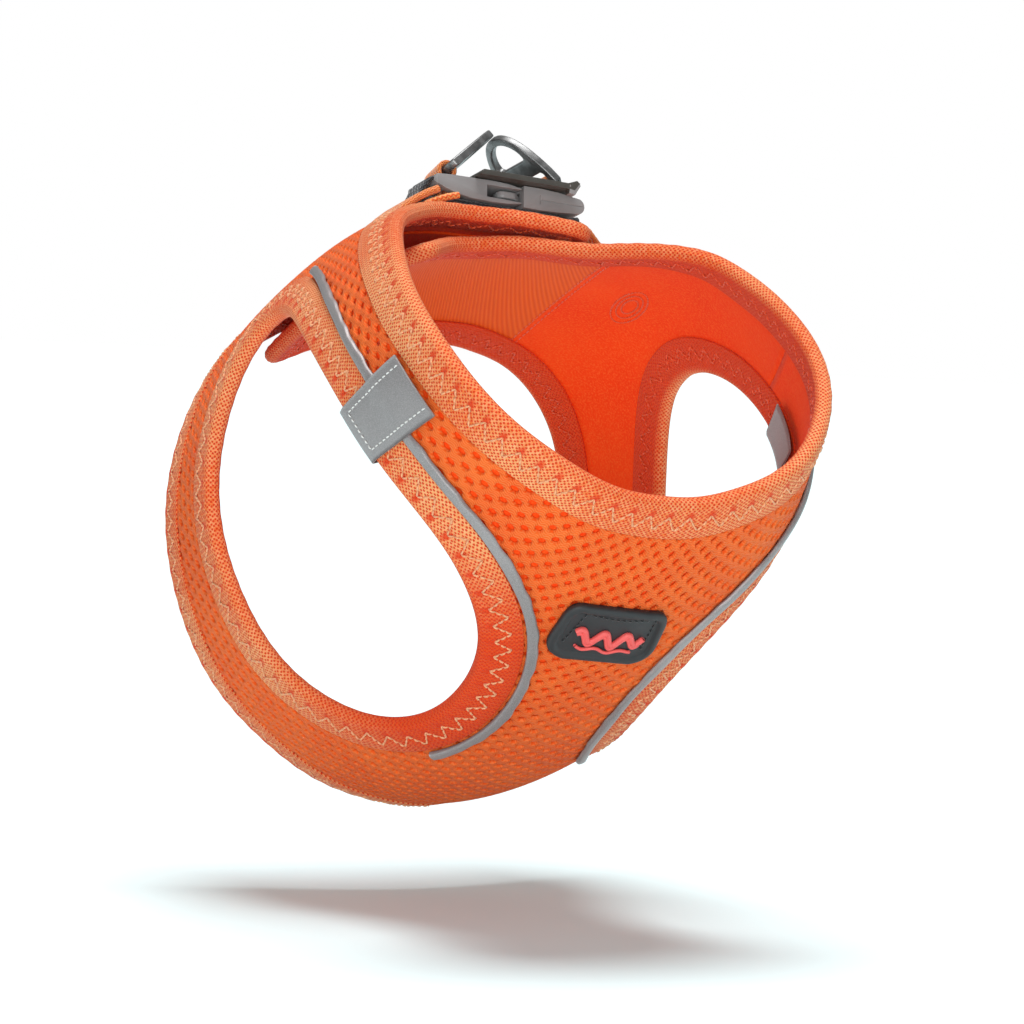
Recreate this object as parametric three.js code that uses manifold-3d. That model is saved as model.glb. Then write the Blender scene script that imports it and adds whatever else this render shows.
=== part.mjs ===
// A step-in vest harness for a small dog, closed as it is worn.
// Millimetres, +Z up. The dog faces -Y, its left side is +X, and the frame's origin is on the axis
// through the middle of the neck opening and the middle of the torso opening.
import * as THREE from "three";
import { mergeVertices } from "three/addons/utils/BufferGeometryUtils.js";
import Module from "manifold-3d";

const wasm = await Module();
wasm.setup();

// ---- driving dimensions: the vest's surface ----
// Each ring is an oval of half width and half height, tilted forward by tilt degrees about X.
// oval, egg, lean and twist are its first harmonics and saddle is how far its sides stand out of plane.
const NECK = { halfWidth: 53.5, halfHeight: 73, tilt: 55.5, y: -62, z: 34, saddle: -10,
  oval: -0.095, egg: -0.06, lean: -0.06, twist: 0.02 };
const TORSO = { halfWidth: 58.4, halfHeight: 83, tilt: 7, y: 62, z: -34, saddle: 9,
  oval: -0.14, egg: 0.045, lean: 0, twist: 0 };
const BULGE = { mean: 13.3, belly: 9.5, sides: 1.5, left: 2.8, twist: 0.7 };
// Angles run round the body from the middle of the chest, towards the dog's left, in degrees.
const RIGHT_FLAP_END = -213;
const LEFT_FLAP_END = 233;
const SAG_END = 241;
const FLAP_CORNER = 15;
const FLAP_STEP = 6.6;
const CLOTH_INSET = 1.5;
const SIDE_TUCK = 1.2;
const NECK_SAG = 7;
const RIGHT_LEG = { side: -1, angle: 67.6, along: 0.472, reach: 44, half: 0.251 };
const LEFT_LEG = { side: 1, angle: 63.6, along: 0.478, reach: 38.4, half: 0.249 };
const EDGE_ARC = 0.08;
const LEG_SHEAR = 0.035;
const LEG_EGG = -0.05;
const LEG_SQUARENESS = 2.2;

// ---- driving dimensions: cloth, tape and trim ----
const MESH_LAYER = [0.3, 1.9];
const LINING_LAYER = [-1.1, -0.3];
const PANEL_SPLIT = 84;
const SEAM_GAP = 0.5;
const TAPE_WIDTH = 13;
const TAPE_OUTSIDE = 3.5;
const TAPE_INSIDE = -2.5;
const TAPE_THICKNESS = 0.8;
const TAPE_POCKET = 2.4;
const PIPING = { inset: 13.5, width: 3, low: 2.7, high: 4.1, start: -205, end: -28 };
const TAB = { angle: 71, width: 17, outside: 27, inside: 15, thickness: 0.7, slant: -0.25 };
const LABEL = { angle: -2, along: 0.215, width: 31, height: 21, corner: 4.5, low: 2.7, high: 4.4 };
const EMBLEM = { width: 19, height: 6, low: 4.7, high: 5.3 };
const PATCH = { from: -197, to: -144, start: 0.27, end: 0.74, hook: [-2.1, -1.5], loop: [2.5, 3] };
const REAR_TAG = { angle: -139, width: 8, length: 9, low: 4.0, high: 5.2 };

// ---- driving dimensions: buckle, rings and webbing ----
const SADDLE = { x: 9.1, y: 24, z: 61.8, tilt: -15, roll: 5.5 };
const BUCKLE = { width: 27, low: 2.6, high: 8.8, left: -25, mouth: 3.6, right: 24, wall: 1.5 };
const WEB_SLOT = { width: 21.4, length: 7, femaleLeft: -22.4, maleLeft: 10.6 };
const PRONG = { root: 4.4, tip: -6.4, inner: 6.2, outer: 9.6, barb: 12.2 };
const RING = {
  halfWidth: 14,
  reach: 20.5,
  bar: 1.2,
  thickness: 2.4,
  lean: 46,
  barHeight: 12.3,
  slotTop: 4.8,
  eyeLow: 10.4,
};
const RING_X = { right: -16.4, left: 15.2 };
const RING_YAW = { right: -10, left: 0 };
const WEB = { width: 19.6, thickness: 1.2, rightLoop: 17.6 };
const SLIDE = { left: -12, right: 20.8, halfWidth: 17, low: 9.2, high: 10.8, rail: 2 };

const COLOURS = { mesh: 0xf0722a, lining: 0xe04a1e, tape: 0xf07038, grey: 0x8c8c8e, black: 0x222224,
  rubber: 0x2a2a2c, coral: 0xe65555, plastic: 0x6e6e70, metal: 0x777775, web: 0xf07a30, hook: 0x26262a };

const rad = THREE.MathUtils.degToRad;
const smooth = (x, low, high) => THREE.MathUtils.smoothstep(x, low, high);

// ---- the vest's surface ----
function ringPoint(ring, angle) {
  const a = rad(angle);
  const swell = 1 + ring.oval * Math.cos(2 * a) + ring.egg * Math.cos(3 * a) + ring.lean * Math.sin(a)
    + ring.twist * Math.sin(2 * a);
  const across = ring.halfWidth * Math.sin(a) * swell;
  const up = -ring.halfHeight * Math.cos(a) * swell;
  const out = ring.saddle * Math.cos(2 * a);
  const tilt = rad(ring.tilt);
  return new THREE.Vector3(across, ring.y + up * Math.sin(tilt) - out * Math.cos(tilt),
    ring.z + up * Math.cos(tilt) + out * Math.sin(tilt));
}

// How far the cloth lies inside the two rings, which it meets only over the chest. It tucks in beside the
// left shoulder, and the inner flap steps down under the outer one and sags.
function layerShift(angle, along) {
  const inset = CLOTH_INSET * (1 - smooth(angle, -110, -50) * (1 - smooth(angle, 40, 90)));
  const tuck = SIDE_TUCK * smooth(angle, 60, 95) * (1 - smooth(angle, 98, 118)) * (1 - along);
  const drop = FLAP_STEP * smooth(angle, 110, 147);
  const sag = NECK_SAG * smooth(angle, 155, SAG_END) * (1 - 0.7 * along);
  return -inset - tuck - drop - sag;
}

function basePoint(angle, along) {
  const a = rad(angle);
  const swell = BULGE.mean + BULGE.belly * Math.cos(a) + BULGE.sides * Math.cos(2 * a)
    + BULGE.left * Math.sin(a) + BULGE.twist * Math.sin(2 * a);
  const shift = swell * 4 * along * (1 - along) + layerShift(angle, along);
  const out = new THREE.Vector3(Math.sin(a), 0, -Math.cos(a));
  return ringPoint(NECK, angle).lerp(ringPoint(TORSO, angle), along).addScaledVector(out, shift);
}

function slopes(angle, along) {
  const step = 0.01;
  const here = basePoint(angle, along);
  const round = basePoint(angle + step, along).sub(here).divideScalar(step);
  const back = basePoint(angle, along + step / 10).sub(here).divideScalar(step / 10);
  return { here, round, back, normal: new THREE.Vector3().crossVectors(back, round).normalize() };
}

// The point above the surface at an angle round the body and a share of the way from neck to torso.
function onVest(angle, along, height) {
  const s = slopes(angle, along);
  return s.here.addScaledVector(s.normal, height);
}

// Moves a millimetre distance over the surface, in a direction given in space.
function travel([angle, along], direction, distance) {
  const { round, back } = slopes(angle, along);
  const e = round.dot(round);
  const f = round.dot(back);
  const g = back.dot(back);
  const u = direction.dot(round);
  const v = direction.dot(back);
  const scale = distance / (e * g - f * f);
  return [angle + scale * (u * g - v * f), along + scale * (v * e - u * f)];
}

// ---- outlines on the surface, as functions from 0 to 1 ----
function legHole(leg, turn) {
  const phi = rad(turn);
  const power = (x) => Math.sign(x) * Math.abs(x) ** (2 / LEG_SQUARENESS);
  const c = power(Math.cos(phi));
  const s = power(Math.sin(phi));
  const angle = leg.side * (leg.angle + leg.reach * c);
  return [angle, leg.along + leg.half * (1 + LEG_EGG * c) * s + LEG_SHEAR * c];
}

// A point on the vest's own outline, where s runs 0 to 4 round its four sides from the right flap's
// neck corner: the neck edge, the left flap's end, the torso edge and the right flap's end.
function vestEdge(s, inset = 0) {
  const corner = FLAP_CORNER;
  const perDegree = 1.05;
  const perShare = (angle) => basePoint(angle, 0).distanceTo(basePoint(angle, 1));
  const wide = corner / perDegree;
  const place = (angle, mm) => [angle, mm / perShare(angle)];
  const side = ((Math.floor(s) % 4) + 4) % 4;
  const t = s - Math.floor(s);
  const inner = corner - inset;
  if (side === 0 || side === 2) {
    const [from, to] = side === 0 ? [RIGHT_FLAP_END, LEFT_FLAP_END] : [LEFT_FLAP_END, RIGHT_FLAP_END];
    const sign = Math.sign(to - from);
    const turnIn = (share, end, towards) => {
      const a = (Math.PI / 2) * share;
      const angle = end + towards * (wide - (inner / perDegree) * Math.cos(a));
      return [angle, corner - inner * Math.sin(a)];
    };
    let angle;
    let mm;
    if (t < EDGE_ARC) [angle, mm] = turnIn(t / EDGE_ARC, from, sign);
    else if (t > 1 - EDGE_ARC) [angle, mm] = turnIn((1 - t) / EDGE_ARC, to, -sign);
    else {
      angle = THREE.MathUtils.lerp(from + sign * wide, to - sign * wide, (t - EDGE_ARC) / (1 - 2 * EDGE_ARC));
      mm = inset;
    }
    const [u, along] = place(angle, mm);
    return side === 0 ? [u, along] : [u, 1 - along];
  }
  const end = side === 1 ? LEFT_FLAP_END : RIGHT_FLAP_END;
  const angle = end - Math.sign(end) * (inset / perDegree);
  const share = corner / perShare(angle);
  const first = side === 1 ? share : 1 - share;
  const along = THREE.MathUtils.lerp(first, 1 - first, t);
  return [angle, along];
}

// ---- solids ----
function solid(vertices, triangles) {
  const mesh = new wasm.Mesh({ numProp: 3, vertProperties: new Float32Array(vertices),
    triVerts: new Uint32Array(triangles) });
  const made = new wasm.Manifold(mesh);
  if (made.volume() > 0) return made;
  const turned = [];
  for (let i = 0; i < triangles.length; i += 3) turned.push(triangles[i], triangles[i + 2], triangles[i + 1]);
  return solid(vertices, turned);
}

function solidOf(geometry) {
  const bare = geometry.clone();
  bare.deleteAttribute("normal");
  bare.deleteAttribute("uv");
  const merged = mergeVertices(bare, 1e-4);
  return solid([...merged.attributes.position.array], [...merged.index.array]);
}

function geometryOf(manifold) {
  const mesh = manifold.getMesh();
  const geometry = new THREE.BufferGeometry();
  geometry.setAttribute("position", new THREE.BufferAttribute(new Float32Array(mesh.vertProperties), 3));
  geometry.setIndex(new THREE.BufferAttribute(new Uint32Array(mesh.triVerts), 1));
  return geometry.toNonIndexed();
}

// The triangles that fill a flat outline, in the outline's own order.
function fill(outline) {
  const faces = THREE.ShapeUtils.triangulateShape(outline, []);
  return THREE.ShapeUtils.area(outline) > 0 ? faces : faces.map(([a, b, c]) => [c, b, a]);
}

// Skins a row of equal sections, each a list of points. The faces close both ends; a ring has none.
function loft(sections, faces, ring = false) {
  const count = sections[0].length;
  const vertices = sections.flat().flatMap((p) => [p.x, p.y, p.z]);
  const triangles = [];
  const last = ring ? sections.length : sections.length - 1;
  for (let i = 0; i < last; i++) {
    const next = ((i + 1) % sections.length) * count;
    for (let j = 0; j < count; j++) {
      const k = (j + 1) % count;
      triangles.push(i * count + j, i * count + k, next + k, i * count + j, next + k, next + j);
    }
  }
  if (!ring) {
    const end = (sections.length - 1) * count;
    faces.forEach(([a, b, c]) => triangles.push(c, b, a, end + a, end + b, end + c));
  }
  return solid(vertices, triangles);
}

// A sheet between two heights over the surface, from one angle to another, with its own edges.
function sheet(from, to, columns, rows, lowEdge, highEdge, [low, high]) {
  const sections = [];
  for (let i = 0; i <= columns; i++) {
    const angle = THREE.MathUtils.lerp(from, to, i / columns);
    const start = lowEdge(angle);
    const end = highEdge(angle);
    const row = [];
    for (let j = 0; j <= rows; j++) row.push(onVest(angle, THREE.MathUtils.lerp(start, end, j / rows), high));
    for (let j = rows; j >= 0; j--) row.push(onVest(angle, THREE.MathUtils.lerp(start, end, j / rows), low));
    sections.push(row);
  }
  const ladder = [];
  const last = 2 * rows + 1;
  for (let j = 0; j < rows; j++) ladder.push([j, j + 1, last - 1 - j], [j, last - 1 - j, last - j]);
  return loft(sections, ladder);
}

// Sweeps a section along an edge of the surface. Its x is how far in from the edge, its y the height.
// A slanted section drifts along the edge by that share of its distance in.
function sweep(edge, inward, section, stops, nudge, ring = false, slant = 0) {
  const sections = stops.map((s) => {
    const here = edge(s);
    const before = basePoint(...edge(s - nudge));
    const tangent = basePoint(...edge(s + nudge)).sub(before).normalize();
    const direction = slopes(...here).normal.cross(tangent).normalize().multiplyScalar(inward);
    direction.addScaledVector(tangent, slant);
    return section.map((p) => onVest(...travel(here, direction, p.x), p.y));
  });
  return loft(sections, fill(section), ring);
}

// Evenly spaced values from one number to another, with the last one left out.
function spread(from, to, steps) {
  return Array.from({ length: steps }, (_, i) => THREE.MathUtils.lerp(from, to, i / steps));
}

const flat = (points) => points.map(([x, y]) => new THREE.Vector2(x, y));

// ---- one mesh for each sub-part ----
const vest = new THREE.Group();
const saddle = new THREE.Group();
saddle.position.set(SADDLE.x, SADDLE.y, SADDLE.z);
saddle.rotation.set(rad(SADDLE.tilt), rad(SADDLE.roll), 0);
vest.add(saddle);

function add(name, manifold, colour, parent = vest, roughness = 0.8, metalness = 0) {
  const material = new THREE.MeshStandardMaterial({ color: colour, roughness, metalness, flatShading: true });
  const mesh = new THREE.Mesh(geometryOf(manifold), material);
  mesh.name = name;
  parent.add(mesh);
  return mesh;
}

// The solid that cuts a leg hole out of a cloth layer, grown by a distance.
function legCutter(leg, grow) {
  const turns = 56;
  const levels = [-9, 40].map((height) => {
    const row = [];
    for (let i = 0; i < turns; i++) {
      const turn = (360 * i) / turns;
      const here = legHole(leg, turn);
      const before = basePoint(...legHole(leg, turn - 1));
      const after = basePoint(...legHole(leg, turn + 1));
      const direction = slopes(...here).normal.cross(after.sub(before)).normalize().multiplyScalar(leg.side);
      row.push(onVest(...travel(here, direction, grow), height));
    }
    return row;
  });
  const outline = levels[0].map((_, i) => new THREE.Vector2(...legHole(leg, (360 * i) / turns)));
  return loft(levels, fill(outline));
}

// The cloth's neck and torso edges inside the binding, rounded at the flaps' ends.
function clothEdge(angle) {
  const length = basePoint(angle, 0).distanceTo(basePoint(angle, 1));
  const perDegree = 1.05;
  const end = Math.min(angle - RIGHT_FLAP_END, LEFT_FLAP_END - angle) * perDegree - TAPE_POCKET;
  const corner = FLAP_CORNER - TAPE_POCKET;
  const short = Math.max(corner - Math.max(end, 0), 0);
  return (TAPE_POCKET + corner - Math.sqrt(corner ** 2 - short ** 2)) / length;
}

function clothPanel(from, to, columns, rows, layer) {
  const cutters = [legCutter(RIGHT_LEG, TAPE_POCKET), legCutter(LEFT_LEG, TAPE_POCKET)];
  const panel = sheet(from, to, columns, rows, clothEdge, (angle) => 1 - clothEdge(angle), layer);
  return cutters.reduce((cloth, cutter) => cloth.subtract(cutter), panel);
}

function cloth() {
  const clear = (TAPE_POCKET + 0.2) / 1.05;
  const half = SEAM_GAP / 2 / 1.5;
  const cuts = {
    chest: [-PANEL_SPLIT + half, PANEL_SPLIT - half, 22],
    right_back: [RIGHT_FLAP_END + clear, -PANEL_SPLIT - half, 18],
    left_back: [PANEL_SPLIT + half, LEFT_FLAP_END - clear, 26],
  };
  for (const [name, [from, to, columns]] of Object.entries(cuts)) {
    add(name + "_mesh_panel", clothPanel(from, to, columns, 8, MESH_LAYER), COLOURS.mesh);
    add(name + "_lining", clothPanel(from, to, columns, 8, LINING_LAYER), COLOURS.lining);
  }
}

// The binding tape's folded section: outside arm, fold over the edge, inside arm.
function tapeSection() {
  const t = TAPE_THICKNESS;
  return flat([
    [TAPE_WIDTH, TAPE_OUTSIDE], [1, TAPE_OUTSIDE], [-0.4, 1.6], [-0.4, -1.1], [1, TAPE_INSIDE],
    [TAPE_WIDTH, TAPE_INSIDE], [TAPE_WIDTH, TAPE_INSIDE + t], [1.3, TAPE_INSIDE + t],
    [1.3, TAPE_OUTSIDE - t], [TAPE_WIDTH, TAPE_OUTSIDE - t],
  ]);
}

function bindings() {
  const gap = 0.01;
  const section = tapeSection();
  for (const [name, first] of [["neck_binding", 0], ["rear_binding", 2]]) {
    const stops = [...spread(first - 0.5 + gap, first, 3), ...spread(first, first + EDGE_ARC, 4),
      ...spread(first + EDGE_ARC, first + 1 - EDGE_ARC, 60), ...spread(first + 1 - EDGE_ARC, first + 1, 4),
      ...spread(first + 1, first + 1.5 - gap, 3), first + 1.5 - gap];
    add(name, sweep(vestEdge, -1, section, stops, 0.002), COLOURS.tape);
  }
  for (const [name, leg] of [["right", RIGHT_LEG], ["left", LEFT_LEG]]) {
    const hole = (turn) => legHole(leg, turn);
    add(name + "_leg_binding", sweep(hole, leg.side, section, spread(0, 360, 48), 0.5, true), COLOURS.tape);
  }
}

// Flat reflective piping beside the front edge of each leg binding.
function piping(leg) {
  const { inset, width, low, high, start, end } = PIPING;
  const middle = (low + high) / 2;
  const section = flat([
    [inset, middle], [inset + 0.8, high], [inset + width - 0.8, high],
    [inset + width, middle], [inset + width - 0.8, low], [inset + 0.8, low],
  ]);
  return sweep((turn) => legHole(leg, turn), leg.side, section, [...spread(start, end, 36), end], 0.5);
}

// The turn round a leg hole at which its neck side reaches a given angle round the body.
function turnAt(leg, angle) {
  const c = (angle - leg.angle) / leg.reach;
  return -THREE.MathUtils.radToDeg(Math.acos(Math.sign(c) * Math.abs(c) ** (LEG_SQUARENESS / 2)));
}

// A grey tab wrapped round the leg edge of a shoulder strap.
function tab(leg) {
  const { angle, width, outside, inside, thickness, slant } = TAB;
  const half = width / 2 / 1.55;
  const high = PIPING.high + 0.6;
  const low = TAPE_INSIDE - 0.5;
  const section = flat([
    [outside, high + thickness], [0, high + thickness], [-1.6, 2.6], [-1.6, -2], [0, low - thickness],
    [inside, low - thickness], [inside, low], [0.2, low], [-0.8, -1.8],
    [-0.8, 2.4], [0.2, high], [outside, high],
  ]);
  const hole = (turn) => legHole(leg, turn);
  const [from, to] = [turnAt(leg, angle - half), turnAt(leg, angle + half)];
  return sweep(hole, leg.side, section, [...spread(from, to, 10), to], 0.5, false, slant);
}

// A patch with rounded corners, width round the body and height along it, centred on an angle.
function patch(centre, along, width, height, corner, layer, columns, rows, wave = 0) {
  const perDegree = slopes(centre, along).round.length();
  const perShare = slopes(centre, along).back.length();
  const half = width / 2 / perDegree;
  const drop = (angle) => {
    const fromEnd = width / 2 - Math.abs(angle - centre) * perDegree;
    const short = Math.max(corner - Math.max(fromEnd, 0), 0);
    return (corner - Math.sqrt(Math.max(corner ** 2 - short ** 2, 0.04))) / perShare;
  };
  const sway = (angle) => (wave * Math.sin(((angle - centre) / half) * Math.PI * 1.5)) / perShare;
  const top = (angle) => along - height / 2 / perShare + drop(angle) + sway(angle);
  const bottom = (angle) => along + height / 2 / perShare - drop(angle) + sway(angle);
  return sheet(centre - half, centre + half, columns, rows, top, bottom, layer);
}

function trim() {
  for (const [name, leg] of [["right", RIGHT_LEG], ["left", LEFT_LEG]]) {
    add(name + "_reflective_piping", piping(leg), COLOURS.grey);
    add(name + "_reflective_tab", tab(leg), COLOURS.grey);
  }
  const { angle, along, width, height, corner, low, high } = LABEL;
  add("chest_label", patch(angle, along, width, height, corner, [low, high], 12, 4), COLOURS.rubber);
  const mark = patch(angle, along, EMBLEM.width, EMBLEM.height, 2, [EMBLEM.low, EMBLEM.high], 14, 2, 1.6);
  add("label_emblem", mark, COLOURS.coral);
  const { from, to, start, end } = PATCH;
  const edges = [() => start, () => end];
  add("hook_patch", sheet(from, to, 8, 3, ...edges, PATCH.hook), COLOURS.hook);
  add("loop_patch", sheet(from + 360, to + 360, 8, 3, ...edges, PATCH.loop), COLOURS.hook);
  const tagAt = [REAR_TAG.angle, 0.94, REAR_TAG.width, REAR_TAG.length, 1];
  add("rear_end_tag", patch(...tagAt, [REAR_TAG.low, REAR_TAG.high], 3, 2), COLOURS.web);
}

// ---- buckle, rings and webbing, in the saddle's own frame: x along the buckle, z off the back ----
function block([x0, x1], [y0, y1], [z0, z1]) {
  const box = new THREE.BoxGeometry(x1 - x0, y1 - y0, z1 - z0);
  box.translate((x0 + x1) / 2, (y0 + y1) / 2, (z0 + z1) / 2);
  return solidOf(box);
}

// A plate cut from a plan outline, between two heights.
function plate(shape, low, high) {
  const settings = { depth: high - low, bevelEnabled: false, curveSegments: 4 };
  const geometry = new THREE.ExtrudeGeometry(shape, settings);
  geometry.translate(0, 0, low);
  return solidOf(geometry);
}

// A profile in x and z, carried across the straps' width along y.
function across(points, halfWidth) {
  const shape = new THREE.Shape(flat(points));
  const geometry = new THREE.ExtrudeGeometry(shape, { depth: 2 * halfWidth, bevelEnabled: false });
  geometry.rotateX(Math.PI / 2);
  geometry.translate(0, halfWidth, 0);
  return solidOf(geometry);
}

// A strap of one thickness along a line of points in x and z.
function strap(line, thickness, halfWidth) {
  const normals = line.map((_, i) => {
    const before = line[Math.max(i - 1, 0)];
    const after = line[Math.min(i + 1, line.length - 1)];
    return new THREE.Vector2(before[1] - after[1], after[0] - before[0]).normalize();
  });
  const offset = (shift) => line.map(([x, z], i) => [x + normals[i].x * shift, z + normals[i].y * shift]);
  const top = offset(thickness / 2);
  const low = offset(-thickness / 2);
  return across([...low, ...top.reverse()], halfWidth);
}

// The side view of a buckle half: full thickness at the joint and thinner at the rounded webbing end.
function buckleProfile(end, joint) {
  const { low, high } = BUCKLE;
  const sign = Math.sign(joint - end);
  const middle = (low + high) / 2;
  return [
    [end, middle - 1.2], [end + sign * 1.2, low + 0.9], [end + sign * 5, low + 0.2], [end + sign * 12, low],
    [joint, low], [joint, high], [end + sign * 12, high], [end + sign * 5, high - 0.5],
    [end + sign * 1.2, high - 1.2], [end, middle + 1.2],
  ];
}

function buckleFemale() {
  const { width, low, high, left, mouth, wall } = BUCKLE;
  const half = width / 2;
  const body = across(buckleProfile(left, mouth), half);
  const cavity = block([-7.4, mouth + 1], [-half - 1, half + 1], [low + wall, high - wall]);
  const slot = block([WEB_SLOT.femaleLeft, WEB_SLOT.femaleLeft + WEB_SLOT.length],
    [-WEB_SLOT.width / 2, WEB_SLOT.width / 2], [low - 2, high + 2]);
  const blind = block([-12, 0], [-2.9, 2.9], [low + wall, high - wall]);
  return body.subtract(cavity).subtract(slot).subtract(blind);
}

function buckleMale() {
  const { width, low, high, mouth, right } = BUCKLE;
  const half = width / 2;
  const shoulder = mouth + 0.4;
  const body = across(buckleProfile(right, shoulder), half);
  const tongue = block([-10.5, shoulder + 1], [-2.4, 2.4], [low + 2.2, high - 2.2]);
  const slot = block([WEB_SLOT.maleLeft, WEB_SLOT.maleLeft + WEB_SLOT.length],
    [-WEB_SLOT.width / 2, WEB_SLOT.width / 2], [low - 2, high + 2]);
  const notchWidth = (side) => (side > 0 ? [5.2, 10.6] : [-10.6, -5.2]);
  const notch = (side) => block([shoulder - 1, 9], notchWidth(side), [low + 1.5, high - 1.5]);
  return body.add(tongue).subtract(slot).subtract(notch(1)).subtract(notch(-1));
}

// A sprung prong: a curved arm with a barb that stands in the side window.
function prong(side) {
  const { root, tip, inner, outer, barb } = PRONG;
  const outline = new THREE.Shape();
  outline.moveTo(8.6, inner);
  outline.lineTo(8.6, outer);
  outline.lineTo(root - 1, outer);
  outline.lineTo(-0.6, barb);
  outline.lineTo(tip + 2.4, barb);
  outline.quadraticCurveTo(tip, barb - 1, tip, inner + 1.6);
  outline.lineTo(tip + 1.6, inner);
  const geometry = new THREE.ExtrudeGeometry(outline, { depth: 2.6, bevelEnabled: false, curveSegments: 4 });
  geometry.translate(0, 0, (BUCKLE.low + BUCKLE.high) / 2 - 1.3);
  if (side < 0) geometry.rotateX(Math.PI).translate(0, 0, BUCKLE.low + BUCKLE.high);
  return solidOf(geometry);
}

// The D-ring's plan, lying flat: its webbing bar is at y 0 and its leash hole points along +y.
function ringShape() {
  const { halfWidth, reach, bar, slotTop, eyeLow } = RING;
  const outline = new THREE.Shape();
  outline.moveTo(-halfWidth, -bar);
  outline.lineTo(halfWidth, -bar);
  outline.lineTo(halfWidth - 0.6, 4);
  outline.bezierCurveTo(halfWidth - 1.5, 12, 9, reach, 0, reach);
  outline.bezierCurveTo(-9, reach, 1.5 - halfWidth, 12, 0.6 - halfWidth, 4);
  const slot = new THREE.Path();
  const edge = halfWidth - 2.8;
  slot.moveTo(-edge, bar);
  slot.lineTo(-edge + 0.4, slotTop);
  slot.lineTo(edge - 0.4, slotTop);
  slot.lineTo(edge, bar);
  const eye = new THREE.Path();
  eye.moveTo(-7.8, eyeLow);
  eye.bezierCurveTo(-9, 13.4, -5.5, reach - 2.8, 0, reach - 2.8);
  eye.bezierCurveTo(5.5, reach - 2.8, 9, 13.4, 7.8, eyeLow);
  outline.holes.push(slot, eye);
  return outline;
}

// The frame that stands on a ring's bar, turned a little about the saddle's upright.
function ringSeat(side) {
  const seat = new THREE.Group();
  seat.position.set(RING_X[side], 0, 0);
  seat.rotation.set(0, 0, rad(RING_YAW[side]));
  saddle.add(seat);
  return seat;
}

function addRing(name, seat, direction) {
  const ring = plate(ringShape(), -RING.thickness / 2, RING.thickness / 2);
  const holder = new THREE.Group();
  holder.position.set(0, 0, RING.barHeight);
  holder.rotation.set(0, rad(direction * RING.lean), 0);
  seat.add(holder);
  const upright = new THREE.Group();
  upright.quaternion.setFromAxisAngle(new THREE.Vector3(1, 1, 1).normalize(), (2 * Math.PI) / 3);
  holder.add(upright);
  add(name, ring, COLOURS.metal, upright, 0.4, 0.9);
}

// Webbing that passes round a ring's bar and down through the buckle below it.
function ringLoop(tail, width) {
  const bar = { inside: 2.1, outside: 2.1 + WEB.thickness };
  const z = RING.barHeight;
  const arc = (radius, from, to, count) => Array.from({ length: count + 1 }, (_, i) => {
    const a = rad(THREE.MathUtils.lerp(from, to, i / count));
    return [radius * Math.cos(a), z + radius * Math.sin(a)];
  });
  const outer = arc(bar.outside, 230, -50, 14);
  const shape = new THREE.Shape(flat([...outer, ...tail]));
  const eye = arc(bar.inside, 0, 330, 11);
  shape.holes.push(new THREE.Path(flat(eye)));
  const geometry = new THREE.ExtrudeGeometry(shape, { depth: width, bevelEnabled: false });
  geometry.rotateX(Math.PI / 2);
  geometry.translate(0, width / 2, 0);
  return solidOf(geometry);
}

function webbing() {
  const half = WEB.width / 2;
  const baseLine = [[-31, -1.6], [-28, 0.2], [-25, 1.2], [-20, 1.4], [16, 1.5]];
  const shoulderLine = [[-33.4, -3.2], [-30.8, 1], [-27.4, 3.6]];
  const tetherLine = [[24.8, 5.4], [28, 3.6], [34, 0.2], [40, -4.2]];
  add("back_strap", strap(baseLine, 1, 13), COLOURS.black, saddle);
  const throughFemale = [[-1.4, 9.2], [-0.8, 3.6], [-1.6, 2.3], [-3.6, 2.3], [-4.2, 3.6], [-4.2, 8]];
  add("right_ring_webbing", ringLoop(throughFemale, WEB.rightLoop), COLOURS.web, ringSeat("right"));
  const throughMale = [[0.8, 8], [0.8, 3.6], [0, 2.9], [-2, 2.9], [-2.6, 3.6], [-2.6, 8]];
  add("left_ring_webbing", ringLoop(throughMale, WEB.width), COLOURS.web, ringSeat("left"));
  add("right_shoulder_webbing", strap(shoulderLine, 1.2, half), COLOURS.web, saddle);
  add("left_tether_webbing", strap(tetherLine, 1.2, half), COLOURS.web, saddle);
}

function strapSlide() {
  const { left, right, halfWidth, low, high, rail } = SLIDE;
  const side = [
    [left, low], [right - 3, low], [right, low + 1.4],
    [right, high + 1.4], [right - 3, high], [left + 1, high],
  ];
  const span = [rail - halfWidth, halfWidth - rail];
  const depth = [low - 1, high + 3];
  const body = across(side, halfWidth);
  const ringGap = block([RING_X.left - 6, RING_X.left + 5], span, depth);
  const lightening = block([left + 3, RING_X.left - 8.5], span, depth);
  return body.subtract(ringGap).subtract(lightening);
}

function hardware() {
  add("buckle_female", buckleFemale(), COLOURS.plastic, saddle, 0.5);
  add("buckle_male", buckleMale(), COLOURS.plastic, saddle, 0.5);
  add("front_prong", prong(-1), COLOURS.plastic, saddle, 0.5);
  add("rear_prong", prong(1), COLOURS.plastic, saddle, 0.5);
  add("strap_slide", strapSlide(), COLOURS.black, saddle, 0.5);
  addRing("right_d_ring", ringSeat("right"), 1);
  addRing("left_d_ring", ringSeat("left"), -1);
}

cloth();
bindings();
trim();
webbing();
hardware();

export default vest;
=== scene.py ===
"""A small dog's step-in vest harness in orange air mesh, dressed over its CAD frame.

The cloth, tapes and trim are built in mesh code on one surface, the same one that the CAD solids follow,
and the buckle, rings and webbing in the frame of the saddle that carries them on the back.
Lengths in this file are millimetres and angles are degrees, until a mesh is made.
"""

import math

import bmesh
import bpy
import numpy as np
from mathutils import Matrix, Vector


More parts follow.
